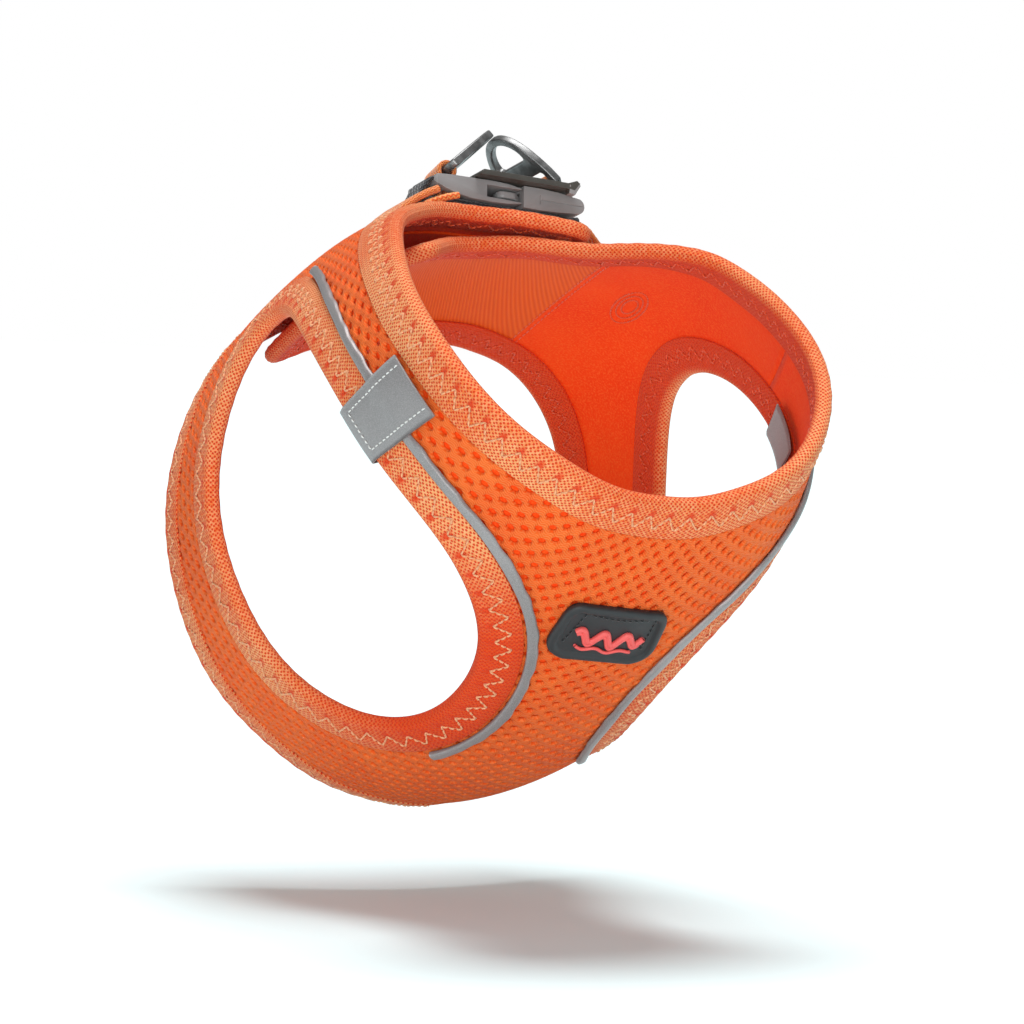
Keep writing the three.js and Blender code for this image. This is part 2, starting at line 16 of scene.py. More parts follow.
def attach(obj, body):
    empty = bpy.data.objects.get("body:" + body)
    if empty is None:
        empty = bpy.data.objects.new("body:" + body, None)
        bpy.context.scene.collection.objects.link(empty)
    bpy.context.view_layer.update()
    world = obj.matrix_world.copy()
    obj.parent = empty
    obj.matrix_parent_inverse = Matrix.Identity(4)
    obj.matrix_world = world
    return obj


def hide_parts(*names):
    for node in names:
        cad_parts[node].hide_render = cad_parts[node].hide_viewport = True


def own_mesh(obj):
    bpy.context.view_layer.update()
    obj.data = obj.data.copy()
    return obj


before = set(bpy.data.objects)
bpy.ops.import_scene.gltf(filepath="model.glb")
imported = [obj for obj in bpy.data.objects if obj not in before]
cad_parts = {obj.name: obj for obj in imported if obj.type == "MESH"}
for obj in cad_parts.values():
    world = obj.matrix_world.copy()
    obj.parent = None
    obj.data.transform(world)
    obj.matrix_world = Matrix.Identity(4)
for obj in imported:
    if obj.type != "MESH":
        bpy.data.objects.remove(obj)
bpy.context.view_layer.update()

MM = 0.001

# ---- the vest's surface, as in the CAD ----
NECK = dict(half_width=53.5, half_height=73, tilt=55.5, y=-62, z=34, saddle=-10,
            oval=-0.095, egg=-0.06, lean=-0.06, twist=0.02)
TORSO = dict(half_width=58.4, half_height=83, tilt=7, y=62, z=-34, saddle=9,
             oval=-0.14, egg=0.045, lean=0, twist=0)
BULGE = dict(mean=13.3, belly=9.5, sides=1.5, left=2.8, twist=0.7)
RIGHT_FLAP_END = -213
LEFT_FLAP_END = 233
SAG_END = 241
FLAP_CORNER = 15
FLAP_STEP = 6.6
CLOTH_INSET = 1.5
SIDE_TUCK = 1.2
NECK_SAG = 7
RIGHT_LEG = dict(side=-1, angle=67.6, along=0.472, reach=44, half=0.251)
LEFT_LEG = dict(side=1, angle=63.6, along=0.478, reach=38.4, half=0.249)
EDGE_ARC = 0.08
LEG_SHEAR = 0.035
LEG_EGG = -0.05
LEG_SQUARENESS = 2.2
PANEL_SPLIT = 84
CORNER_DEGREE = 1.05
CLOTH_DEGREE = 1.3

# ---- cloth, tape and trim ----
HOLE_ROW = 6.4
HOLE_STEP = 2.3
HOLE_RIM = (1.5, 1.08)
HOLE_THROAT = (1.34, 0.94)
LINING_PITCH = 2.4
LINING = (-0.7, 0.85)
FACING_ANGLE = 137
TAPE = dict(arm=10.3, start=12.6, outside=2.8, inside=-1.8, thick=0.7,
            rib=1.3, rib_height=0.16, flat=(2.6, 8.3))
ZIGZAG = dict(period=5.7, near=3.2, far=8, stitches=3, groove=0.42)
PIPING = dict(inset=13.4, width=3.2, low=2.3, high=3.9, start=-205, end=-28)
TAB = dict(angle=71, width=17, outside=27, inside=15, slant=-0.25)
LABEL = dict(angle=-2, along=0.215, width=31, height=21, corner=6.5)
# reach, middle, height, pitch and radius of each wave
LABEL_WAVES = ((10.2, -0.6, 2.0, 0.92, 0.9), (8.2, 4.2, 0.4, 0.8, 0.5), (9.6, 0.9, 2.0, 0.92, 0.6))
PATCH = dict(low=-197, high=-144, start=0.27, end=0.74)
REAR_TAG = dict(angle=-139, along=0.94, width=8, length=9)

# ---- the saddle: buckle, rings and webbing ----
SADDLE = (Matrix.Translation((9.1, 24, 61.8)) @ Matrix.Rotation(math.radians(-15), 4, "X")
          @ Matrix.Rotation(math.radians(5.5), 4, "Y"))
BUCKLE = dict(half=13.5, low=2.6, high=8.8, left=-25, mouth=3.6, right=24)
WINDOW = dict(left=-8, low=3.9, high=7.5)
RING = dict(half_width=14, reach=20.5, bar=1.2, thickness=2.4, lean=46, height=12.3,
            slot_top=4.8, eye_low=10.2)
RING_X = dict(right=-16.4, left=15.2)
RING_YAW = dict(right=-10, left=0)
WEB = dict(half=9.8, thickness=1.3)
TETHER_END = (43, -13.6)

# ---- floor, light and camera ----
FLOOR = dict(size=9.0, level=-0.135, glow=0.12)
LIGHT = dict(overhead=3.0, overhead_angle=34, surround=0.26,
             front=17, front_size=0.9, front_place=(-0.75, -1.3, 0.0))
VIEW = dict(azimuth=-28.5, elevation=3, roll=-3, distance=1.15, right=0.0063, down=0.0204, lens=141.5)


# ---- the surface ----
def smooth(x, low, high):
    t = np.clip((x - low) / (high - low), 0, 1)
    return t * t * (3 - 2 * t)


def ring_point(ring, angle):
    a = np.radians(angle)
    swell = 1 + ring["oval"] * np.cos(2 * a) + ring["egg"] * np.cos(3 * a)
    swell = swell + ring["lean"] * np.sin(a) + ring["twist"] * np.sin(2 * a)
    across = ring["half_width"] * np.sin(a) * swell
    up = -ring["half_height"] * np.cos(a) * swell
    out = ring["saddle"] * np.cos(2 * a)
    tilt = math.radians(ring["tilt"])
    sine, cosine = math.sin(tilt), math.cos(tilt)
    y = ring["y"] + up * sine - out * cosine
    z = ring["z"] + up * cosine + out * sine
    return np.stack([across, y, z], axis=-1)


def layer_shift(angle, along):
    """How far the cloth lies inside the two rings, with the step where one flap passes under the other."""
    inset = CLOTH_INSET * (1 - smooth(angle, -110, -50) * (1 - smooth(angle, 40, 90)))
    tuck = SIDE_TUCK * smooth(angle, 60, 95) * (1 - smooth(angle, 98, 118)) * (1 - along)
    drop = FLAP_STEP * smooth(angle, 110, 147)
    sag = NECK_SAG * smooth(angle, 155, SAG_END) * (1 - 0.7 * along)
    return -inset - tuck - drop - sag


def ripple(angle, along):
    """The slight unevenness of sewn cloth."""
    slow = 0.3 * np.sin(np.radians(angle * 3 + 40)) * np.sin(2 * np.pi * along)
    return slow + 0.16 * np.sin(np.radians(angle * 11 + along * 420))


def base_point(angle, along):
    angle, along = np.broadcast_arrays(np.asarray(angle, float), np.asarray(along, float))
    a = np.radians(angle)
    swell = BULGE["mean"] + BULGE["belly"] * np.cos(a) + BULGE["sides"] * np.cos(2 * a)
    swell = swell + BULGE["left"] * np.sin(a) + BULGE["twist"] * np.sin(2 * a)
    shift = swell * 4 * along * (1 - along) + layer_shift(angle, along) + ripple(angle, along)
    out = np.stack([np.sin(a), np.zeros_like(a), -np.cos(a)], axis=-1)
    neck = ring_point(NECK, angle)
    return neck + (ring_point(TORSO, angle) - neck) * along[..., None] + out * shift[..., None]


def unit(vectors):
    return vectors / np.maximum(np.linalg.norm(vectors, axis=-1, keepdims=True), 1e-9)


def slopes(angle, along):
    step = 0.01
    here = base_point(angle, along)
    around = (base_point(angle + step, along) - here) / step
    back = (base_point(angle, along + step / 10) - here) / (step / 10)
    return here, around, back, unit(np.cross(back, around))


def on_vest(angle, along, height):
    here, _, _, normal = slopes(angle, along)
    return here + normal * np.asarray(height, float)[..., None]


def length_at(angle):
    """The vest's length from its neck edge to its torso edge."""
    return np.linalg.norm(base_point(angle, 0.0) - base_point(angle, 1.0), axis=-1)


def leg_hole(leg):
    """A leg hole's outline, as a function of the turn round it."""
    def outline(turn):
        phi = np.radians(turn)
        c = np.sign(np.cos(phi)) * np.abs(np.cos(phi)) ** (2 / LEG_SQUARENESS)
        s = np.sign(np.sin(phi)) * np.abs(np.sin(phi)) ** (2 / LEG_SQUARENESS)
        angle = leg["side"] * (leg["angle"] + leg["reach"] * c)
        return angle, leg["along"] + leg["half"] * (1 + LEG_EGG * c) * s + LEG_SHEAR * c
    return outline


def vest_edge_at(s):
    """A point of the vest's outline: s runs over the neck edge, left flap end, torso edge, right flap end."""
    wide = FLAP_CORNER / CORNER_DEGREE
    side = int(math.floor(s)) % 4
    t = s - math.floor(s)
    if side in (0, 2):
        start, end = (RIGHT_FLAP_END, LEFT_FLAP_END) if side == 0 else (LEFT_FLAP_END, RIGHT_FLAP_END)
        sign = 1 if end > start else -1
        share = min(t, 1 - t) / EDGE_ARC
        if share < 1:
            near, towards = (start, sign) if t < 0.5 else (end, -sign)
            angle = near + towards * wide * (1 - math.cos(share * math.pi / 2))
            depth = FLAP_CORNER * (1 - math.sin(share * math.pi / 2))
        else:
            middle = (t - EDGE_ARC) / (1 - 2 * EDGE_ARC)
            angle = start + sign * wide + (end - start - 2 * sign * wide) * middle
            depth = 0
        along = depth / float(length_at(angle))
        return angle, along if side == 0 else 1 - along
    angle = LEFT_FLAP_END if side == 1 else RIGHT_FLAP_END
    share = FLAP_CORNER / float(length_at(angle))
    along = share + (1 - 2 * share) * t
    return angle, along if side == 1 else 1 - along


def vest_edge(stops):
    points = np.array([vest_edge_at(s) for s in np.ravel(stops)])
    return points[:, 0].reshape(np.shape(stops)), points[:, 1].reshape(np.shape(stops))


def edge_frames(edge, inward, stops, nudge, slant=0):
    """Each stop's place on the surface and the step that goes one millimetre in from the edge.

    A slant drifts along the edge by that share of the way in.
    """
    angle, along = edge(stops)
    before = base_point(*edge(stops - nudge))
    after = base_point(*edge(stops + nudge))
    _, around, back, normal = slopes(angle, along)
    direction = unit(np.cross(normal, after - before)) * inward + slant * unit(after - before)
    e = np.sum(around * around, axis=-1)
    f = np.sum(around * back, axis=-1)
    g = np.sum(back * back, axis=-1)
    u = np.sum(direction * around, axis=-1)
    v = np.sum(direction * back, axis=-1)
    scale = 1 / (e * g - f * f)
    return angle, along, scale * (u * g - v * f), scale * (v * e - u * f)


def place(frames, x, y):
    """Points x in from the edge and y above the surface."""
    angle, along, step_angle, step_along = frames
    return on_vest(angle + x * step_angle, along + x * step_along, y)


def even_stops(edge, start, end, pitch):
    """Stops a pitch apart along the edge, and the length up to each."""
    dense = np.linspace(start, end, 900)
    points = base_point(*edge(dense))
    run = np.concatenate([[0], np.cumsum(np.linalg.norm(np.diff(points, axis=0), axis=1))])
    lengths = np.linspace(0, run[-1], int(round(run[-1] / pitch)) + 1)
    return np.interp(lengths, run, dense), lengths


def edge_distance(angle, along):
    """How far a point of the cloth is from the nearest edge of the vest or a leg hole, in millimetres."""
    length = length_at(angle)
    dx = np.minimum(angle - RIGHT_FLAP_END, LEFT_FLAP_END - angle) * CORNER_DEGREE
    dy = np.minimum(along, 1 - along) * length
    corner = FLAP_CORNER - np.hypot(FLAP_CORNER - dx, FLAP_CORNER - dy)
    inside = np.where((dx < FLAP_CORNER) & (dy < FLAP_CORNER), corner, np.minimum(dx, dy))
    for leg in (RIGHT_LEG, LEFT_LEG):
        def reach(angle, along):
            c = (leg["side"] * angle - leg["angle"]) / leg["reach"]
            s = (along - leg["along"] - LEG_SHEAR * c) / (leg["half"] * np.maximum(1 + LEG_EGG * c, 0.3))
            return (np.abs(c) ** LEG_SQUARENESS + np.abs(s) ** LEG_SQUARENESS) ** (1 / LEG_SQUARENESS)
        here = reach(angle, along)
        by_angle = (reach(angle + 0.1, along) - here) / (0.1 * CLOTH_DEGREE)
        by_along = (reach(angle, along + 0.001) - here) / (0.001 * length)
        inside = np.minimum(inside, (here - 1) / np.maximum(np.hypot(by_angle, by_along), 1e-6))
    return inside


# ---- meshes ----
def make(name, vertices, faces, material, body="vest", corner_uv=None, replaces=(), slot=None, flat=False):
    """A mesh object from points in millimetres, riding on a body."""
    mesh = bpy.data.meshes.new(name)
    mesh.from_pydata((np.asarray(vertices, float) * MM).tolist(), [], [list(f) for f in faces])
    if corner_uv is not None:
        layer = mesh.uv_layers.new(name="UVMap")
        layer.data.foreach_set("uv", np.asarray(corner_uv, float).ravel())
    mesh.validate()
    mesh.update()
    if not flat:
        mesh.shade_smooth()
    piece = bpy.data.objects.new(name, mesh)
    bpy.context.scene.collection.objects.link(piece)
    for m in material if isinstance(material, (list, tuple)) else [material]:
        mesh.materials.append(m)
    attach(piece, body)
    if replaces:
        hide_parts(*replaces)
    return piece


def skin(points, u, v, wrap_u, wrap_v):
    """Faces and corner UVs of a grid of points. A wrapped direction's coordinates hold one more value."""
    rows, columns = points.shape[:2]
    i = np.arange(rows if wrap_u else rows - 1)[:, None]
    j = np.arange(columns if wrap_v else columns - 1)[None, :]
    i, j = np.broadcast_arrays(i, j)
    i, j = i.ravel(), j.ravel()
    next_i, next_j = (i + 1) % rows, (j + 1) % columns
    here, ahead = i * columns, next_i * columns
    faces = np.stack([here + j, ahead + j, ahead + next_j, here + next_j], 1)
    uv = np.stack([np.stack([u[i], v[j]], 1), np.stack([u[i + 1], v[j]], 1),
                   np.stack([u[i + 1], v[j + 1]], 1), np.stack([u[i], v[j + 1]], 1)], 1)
    return points.reshape(-1, 3), faces, uv.reshape(-1, 2)


def threads(name, paths, normals, radius, material, body="vest"):
    """Short stitches: each path is a row of points, and each stitch a slim tapered tube."""
    count, stops = paths.shape[:2]
    tangent = unit(np.gradient(paths, axis=1))
    side = unit(np.cross(normals, tangent))
    up = np.cross(tangent, side)
    sides = 5
    turn = np.arange(sides) * 2 * np.pi / sides
    taper = 0.35 + 0.65 * np.sin(np.linspace(0.12, 0.88, stops) * np.pi)
    ring = (np.cos(turn)[:, None] * side[:, :, None, :] + np.sin(turn)[:, None] * up[:, :, None, :])
    vertices = paths[:, :, None, :] + radius * taper[None, :, None, None] * ring
    base = (np.arange(count) * stops * sides)[:, None, None]
    i = np.arange(stops - 1)[None, :, None] * sides
    j = np.arange(sides)[None, None, :]
    k = (j + 1) % sides
    corners = (base + i + j, base + i + k, base + i + sides + k, base + i + sides + j)
    faces = np.stack(np.broadcast_arrays(*corners), -1).reshape(-1, 4).tolist()
    for start in (np.arange(count) * stops * sides).tolist():
        faces.append([start + n for n in reversed(range(sides))])
        faces.append([start + (stops - 1) * sides + n for n in range(sides)])
    return make(name, vertices.reshape(-1, 3), faces, material, body)


# ---- materials ----
TAPE_RADIUS = (TAPE["outside"] - TAPE["inside"]) / 2
TAPE_SPAN = 2 * TAPE["arm"] + math.pi * TAPE_RADIUS
# The middle of a patch of painted shade on the binding tape by the right leg hole.
SHADED_TAPE_SPOT = on_vest(-(RIGHT_LEG["angle"] - RIGHT_LEG["reach"]) + 2, 0.42, 2).tolist()


def rgb(red, green, blue):
    """A display colour as linear values."""
    shares = (red / 255, green / 255, blue / 255)
    return tuple(c / 12.92 if c <= 0.04045 else ((c + 0.055) / 1.055) ** 2.4 for c in shares)


class Shader:
    """One node material, built step by step."""

    def __init__(self, name, roughness, metallic=0.0, sheen=0.0, specular=0.5):
        self.material = bpy.data.materials.new(name)
        self.material.use_nodes = True
        self.tree = self.material.node_tree
        self.surface = self.tree.nodes["Principled BSDF"]
        self.surface.inputs["Roughness"].default_value = roughness
        self.surface.inputs["Metallic"].default_value = metallic
        self.surface.inputs["Sheen Weight"].default_value = sheen
        self.surface.inputs["Sheen Roughness"].default_value = 0.4
        self.surface.inputs["Specular IOR Level"].default_value = specular

    def node(self, kind, **values):
        made = self.tree.nodes.new(kind)
        for key, value in values.items():
            setattr(made, key, value)
        return made

    def link(self, value, socket):
        if isinstance(value, bpy.types.NodeSocket):
            self.tree.links.new(value, socket)
        else:
            socket.default_value = value

    def math(self, operation, a, b=0.0, c=0.0):
        made = self.node("ShaderNodeMath", operation=operation)
        for socket, value in zip(made.inputs, (a, b, c)):
            self.link(value, socket)
        return made.outputs[0]

    def turns(self, value, period):
        """A length as an angle that goes round once every period."""
        return self.math("MULTIPLY", value, 2 * math.pi / period)

    def uv(self):
        parts = self.node("ShaderNodeSeparateXYZ")
        self.link(self.node("ShaderNodeTexCoord").outputs["UV"], parts.inputs[0])
        return parts.outputs[0], parts.outputs[1]

    def noise(self, scale, detail=3.0):
        made = self.node("ShaderNodeTexNoise")
        self.link(self.node("ShaderNodeTexCoord").outputs["Object"], made.inputs["Vector"])
        made.inputs["Scale"].default_value = scale
        made.inputs["Detail"].default_value = detail
        return made.outputs["Fac"]

    def ramp(self, value, low, high):
        made = self.node("ShaderNodeMapRange")
        self.link(value, made.inputs["Value"])
        made.inputs["From Min"].default_value = low
        made.inputs["From Max"].default_value = high
        return made.outputs["Result"]

    def spot(self, x, y, centre, half_x, half_y):
        """One at the middle of an oval spot and nought beyond it."""
        off = self.math("MULTIPLY", self.math("SUBTRACT", y, centre), 1 / half_y)
        across = self.math("POWER", self.math("MULTIPLY", x, 1 / half_x), 2.0)
        far = self.math("ADD", across, self.math("MULTIPLY", off, off))
        return self.ramp(far, 1.0, 0.1)

    def blob(self, centre, radius):
        """One near a place on the object, fading out over a radius, both in millimetres."""
        distance = self.node("ShaderNodeVectorMath", operation="DISTANCE")
        self.link(self.node("ShaderNodeTexCoord").outputs["Object"], distance.inputs[0])
        distance.inputs[1].default_value = tuple(c * MM for c in centre)
        return self.ramp(distance.outputs["Value"], radius * MM, radius * 0.45 * MM)

    def mix(self, factor, a, b):
        made = self.node("ShaderNodeMix", data_type="RGBA")
        self.link(factor, made.inputs[0])
        for socket, colour in ((made.inputs[6], a), (made.inputs[7], b)):
            self.link(colour if isinstance(colour, bpy.types.NodeSocket) else (*colour, 1), socket)
        return made.outputs[2]

    def colour(self, value):
        if not isinstance(value, bpy.types.NodeSocket):
            value = (*value, 1)
        self.link(value, self.surface.inputs["Base Color"])
        return self

    def bump(self, height, strength, distance):
        made = self.node("ShaderNodeBump")
        made.inputs["Strength"].default_value = strength
        made.inputs["Distance"].default_value = distance * MM
        self.link(height, made.inputs["Height"])
        self.link(made.outputs[0], self.surface.inputs["Normal"])
        return self


def air_mesh_material():
    """Coarse knit: fine yarn lines across, with a painted highlight on the ridges between the holes."""
    shader = Shader("air_mesh_knit", 0.68, sheen=0.04, specular=0.18)
    u, v = shader.uv()
    sway = shader.math("MULTIPLY", shader.math("SINE", shader.turns(u, 3.2)), 0.25)
    lines = shader.math("SINE", shader.turns(shader.math("ADD", v, sway), 0.62))
    yarn = shader.ramp(lines, -1.0, 1.0)
    patches = shader.ramp(shader.noise(60.0), 0.35, 0.7)
    ground = shader.mix(patches, rgb(221, 74, 8), rgb(228, 92, 22))
    # Painted highlight: each yarn ridge is mixed towards pale orange.
    shader.colour(shader.mix(shader.math("MULTIPLY", yarn, 0.42), ground, rgb(232, 142, 80)))
    return shader.bump(yarn, 0.5, 0.2).material


def backing_material():
    shader = Shader("backing_knit", 0.85, sheen=0.06, specular=0.08)
    fine = shader.noise(1600.0, 4.0)
    broad = shader.noise(45.0)
    warm = shader.mix(shader.ramp(broad, 0.3, 0.7), rgb(238, 62, 12), rgb(243, 74, 16))
    shader.colour(shader.mix(shader.ramp(fine, 0.45, 0.75), warm, rgb(244, 96, 36)))
    return shader.bump(fine, 0.5, 0.35).material


def twill_material():
    """Diagonal ribs, as on the facing of the inner flap."""
    shader = Shader("flap_twill", 0.7, sheen=0.08, specular=0.15)
    u, v = shader.uv()
    slanted = shader.math("ADD", u, shader.math("MULTIPLY", v, 0.55))
    ribs = shader.math("SINE", shader.turns(slanted, 1.5))
    rise = shader.ramp(ribs, -1.0, 1.0)
    shader.colour(shader.mix(rise, rgb(216, 80, 10), rgb(230, 98, 20)))
    return shader.bump(rise, 0.4, 0.25).material


def tape_material():
    """Fine knit in staggered loops with painted shade in the gaps between them and a painted highlight
    speckling the yarn, ribs along the edge, a red spot of painted shade in the pucker where each zigzag
    stitch turns, and a patch of painted shade by the right leg hole, with the inner arm deepened too.
    """
    shader = Shader("binding_knit", 0.7, sheen=0.05, specular=0.15)
    u, v = shader.uv()
    across = shader.math("COSINE", shader.turns(v, TAPE["rib"]))
    shift = shader.math("MULTIPLY", across, 0.5)
    ahead = shader.math("COSINE", shader.math("ADD", shader.turns(u, 1.35), shift))
    gap = shader.ramp(shader.math("MULTIPLY", across, ahead), 0.0, 0.55)
    place_along = shader.math("MULTIPLY", u, 1 / ZIGZAG["period"])
    from_turn = shader.math("MULTIPLY", shader.math("PINGPONG", place_along, 0.5), ZIGZAG["period"])
    # Painted shade: a red spot at each far turn of the zigzag, in the pucker.
    pucker = shader.spot(from_turn, v, ZIGZAG["far"] + 0.2, 1.3, 2.6)
    rim = shader.ramp(shader.math("ABSOLUTE", shader.math("SUBTRACT", v, TAPE_SPAN / 2)), 4.6, 1.2)
    inner = shader.ramp(v, TAPE_SPAN / 2 + 1, TAPE_SPAN / 2 + 4)
    patches = shader.ramp(shader.noise(24.0), 0.36, 0.62)
    # Painted shade: the tape is deepened to red within 60 mm of the spot by the right leg hole; the inner arm
    # is deepened the same way.
    inner_arm_and_painted_shade = shader.math("MAXIMUM", shader.blob(SHADED_TAPE_SPOT, 60), inner)
    pale = shader.mix(patches, rgb(222, 100, 38), rgb(226, 148, 92))
    pale = shader.mix(shader.math("MULTIPLY", rim, 0.35), pale, rgb(228, 104, 52))
    # Painted highlight: fine speckles of pale yarn colour over the knit.
    fuzz = shader.ramp(shader.noise(900.0), 0.35, 0.7)
    yarn = shader.mix(shader.math("MULTIPLY", fuzz, 0.45), pale, rgb(240, 180, 134))
    yarn = shader.mix(shader.math("MULTIPLY", inner_arm_and_painted_shade, 0.92), yarn, rgb(214, 62, 12))
    # Painted shade: the gaps between the loops are mixed towards deep red.
    knit = shader.mix(shader.math("MULTIPLY", gap, 0.95), yarn, rgb(212, 48, 8))
    shader.colour(shader.mix(shader.math("MULTIPLY", pucker, 0.9), knit, rgb(212, 56, 18)))
    return shader.bump(shader.math("SUBTRACT", 1.0, gap), 0.7, 0.3).material


def thread_material(name, colour):
    shader = Shader(name, 0.5, sheen=0.2)
    strands = shader.noise(2400.0, 2.0)
    dark = tuple(0.75 * c for c in colour)
    shader.colour(shader.mix(shader.ramp(strands, 0.35, 0.65), dark, colour))
    return shader.bump(strands, 0.4, 0.1).material


def reflective_material():
    """Grey cloth under fine glass beads."""
    shader = Shader("reflective_grey", 0.42, metallic=0.25, specular=0.6)
    beads = shader.noise(5200.0, 1.0)
    broad = shader.noise(32.0)
    grey = shader.mix(shader.ramp(broad, 0.3, 0.7), rgb(119, 114, 114), rgb(142, 136, 136))
    shader.colour(shader.mix(shader.ramp(beads, 0.4, 0.8), grey, rgb(166, 159, 159)))
    return shader.bump(beads, 0.25, 0.06).material


def webbing_material(name, dark, light):
    """Woven tape: short warp floats in offset rows."""
    shader = Shader(name, 0.6, sheen=0.3, specular=0.3)
    u, v = shader.uv()
    wave = shader.math("SINE", shader.turns(u, 1.7))
    weft = shader.math("SINE", shader.math("ADD", shader.turns(v, 1.3), shader.math("MULTIPLY", wave, 1.4)))
    rise = shader.ramp(weft, -1.0, 1.0)
    shader.colour(shader.mix(rise, dark, light))
    return shader.bump(rise, 0.8, 0.35).material


def plastic_material(name, dark, light, roughness):
    shader = Shader(name, roughness, specular=0.5)
    grain = shader.noise(1400.0, 4.0)
    wear = shader.noise(70.0)
    shader.colour(shader.mix(shader.ramp(wear, 0.3, 0.7), dark, light))
    return shader.bump(grain, 0.18, 0.08).material


def metal_material():
    """Cast metal, satin on its faces, mottled in colour and roughness."""
    shader = Shader("dark_polished_steel", 0.4, metallic=0.75)
    wear = shader.noise(260.0, 4.0)
    shader.colour(shader.mix(shader.ramp(wear, 0.35, 0.7), rgb(104, 104, 104), rgb(146, 146, 146)))
    shader.link(shader.math("MULTIPLY_ADD", wear, 0.25, 0.27), shader.surface.inputs["Roughness"])
    return shader.bump(wear, 0.16, 0.06).material


KNIT = air_mesh_material()
BACKING = backing_material()
TWILL = twill_material()
TAPE_KNIT = tape_material()
PEACH_THREAD = thread_material("peach_thread", rgb(236, 164, 116))
WHITE_THREAD = thread_material("white_thread", rgb(226, 224, 220))
RED_THREAD = thread_material("orange_thread", rgb(232, 84, 30))
DARK_THREAD = thread_material("black_thread", rgb(26, 26, 27))
GREY = reflective_material()
ORANGE_WEB = webbing_material("orange_webbing_weave", rgb(226, 84, 14), rgb(244, 166, 92))
BLACK_WEB = webbing_material("black_webbing_weave", rgb(14, 14, 16), rgb(50, 50, 54))
RUBBER = plastic_material("label_rubber_black", rgb(30, 30, 32), rgb(42, 42, 44), 0.55)
EMBLEM = plastic_material("emblem_rubber_coral", rgb(222, 72, 70), rgb(232, 92, 88), 0.5)
GREY_PLASTIC = plastic_material("buckle_grey_plastic", rgb(124, 122, 122), rgb(144, 142, 142), 0.44)
DARK_PLASTIC = plastic_material("slide_dark_plastic", rgb(58, 56, 52), rgb(74, 72, 67), 0.42)
STEEL = metal_material()


# ---- cloth ----
def cloth_point(u, v, height):
    """u is round the body and v back from the neck edge, both as the flat cloth is measured."""
    angle = u / CLOTH_DEGREE
    return on_vest(angle, v / length_at(angle), height)


def hole_cells(low, high):
    """The middles of the mesh's cells between two angles, clear of every edge."""
    rows = np.arange(-2, int(230 / HOLE_STEP))
    first, last = (int(end * CLOTH_DEGREE / HOLE_ROW) for end in (RIGHT_FLAP_END, LEFT_FLAP_END))
    columns = np.arange(first - 1, last + 2)
    j, i = np.meshgrid(rows, columns, indexing="ij")
    u = ((i + 0.5 * (j % 2)) * HOLE_ROW).ravel()
    v = (j * HOLE_STEP).ravel()
    angle = u / CLOTH_DEGREE
    along = v / length_at(angle)
    keep = (angle >= low) & (angle < high) & (along > 0) & (along < 1)
    u, v, angle, along = u[keep], v[keep], angle[keep], along[keep]
    clear = edge_distance(angle, along) > 3.2
    return u[clear], v[clear]


def air_mesh(name, low, high, node):
    """An open net: six-sided cells, each with an oval hole whose rim rolls inwards."""
    u, v = hole_cells(low, high)
    reach = (HOLE_ROW ** 2 / 4 + HOLE_STEP ** 2) / HOLE_ROW
    lean = (HOLE_ROW ** 2 / 4 - HOLE_STEP ** 2) / HOLE_ROW
    step = HOLE_STEP
    corners = [(reach, 0), (lean, step), (-lean, step), (-reach, 0), (-lean, -step), (lean, -step)]
    outline = []
    for here, after in zip(corners, corners[1:] + corners[:1]):
        outline += [here, ((here[0] + after[0]) / 2, (here[1] + after[1]) / 2)]
    outline = np.array(outline)
    turn = np.arctan2(outline[:, 1] / HOLE_RIM[1], outline[:, 0] / HOLE_RIM[0])
    oval = np.stack([np.cos(turn), np.sin(turn)], 1)
    outer = np.stack([u, v], 1)[:, None, :] + outline[None]
    keys, shared = np.unique(np.round(outer.reshape(-1, 2), 2), axis=0, return_inverse=True)
    shared = shared.reshape(len(u), 12)
    is_corner = np.zeros(len(keys))
    is_corner[shared[:, ::2]] = 1
    middle = np.stack([u, v], 1)[:, None, :]
    shoulder = middle + oval[None] * np.array(HOLE_RIM) * 1.18
    rim = middle + oval[None] * np.array(HOLE_RIM)
    throat = middle + oval[None] * np.array(HOLE_THROAT)
    flat = np.concatenate([keys, shoulder.reshape(-1, 2), rim.reshape(-1, 2), throat.reshape(-1, 2)])
    count = 12 * len(u)
    levels = [np.full(count, level) for level in (2.1, 1.9, 1.05)]
    levels = np.concatenate([1.75 + 0.25 * is_corner, *levels])
    vertices = cloth_point(flat[:, 0], flat[:, 1], levels)
    rings = [shared] + [len(keys) + n * count + np.arange(count).reshape(-1, 12) for n in range(3)]
    faces = []
    for a, b in zip(rings, rings[1:]):
        faces.append(np.stack([np.roll(a, -1, 1), a, b, np.roll(b, -1, 1)], -1).reshape(-1, 4))
    faces = np.concatenate(faces)
    piece = make(name, vertices, faces, KNIT, corner_uv=flat[faces.ravel()], replaces=[node], slot="air_mesh")
    area = len(u) * HOLE_ROW * HOLE_STEP * 1e-6
    return piece, area, (np.ptp(u) + HOLE_ROW) * MM, (np.ptp(v) + 2 * HOLE_STEP) * MM


def two_faced(quads, vertices_low, vertices_high):
    """A thin closed sheet from one layer of faces: the outer face, the inner face and the cut edge."""
    count = len(vertices_high)
    edges = {}
    for quad in quads.tolist():
        for a, b in zip(quad, quad[1:] + quad[:1]):
            edges[(a, b)] = True
    walls = [[b, a, a + count, b + count] for a, b in edges if (b, a) not in edges]
    faces = quads.tolist() + (quads[:, ::-1] + count).tolist() + walls
    return np.concatenate([vertices_high, vertices_low]), faces


def grid_quads(rows, columns):
    """The faces of a flat grid of points that are numbered along each row."""
    i, j = np.meshgrid(np.arange(rows - 1), np.arange(columns - 1), indexing="ij")
    here, ahead = i * columns + j, (i + 1) * columns + j
    return np.stack([here, ahead, ahead + 1, here + 1], -1).reshape(-1, 4)


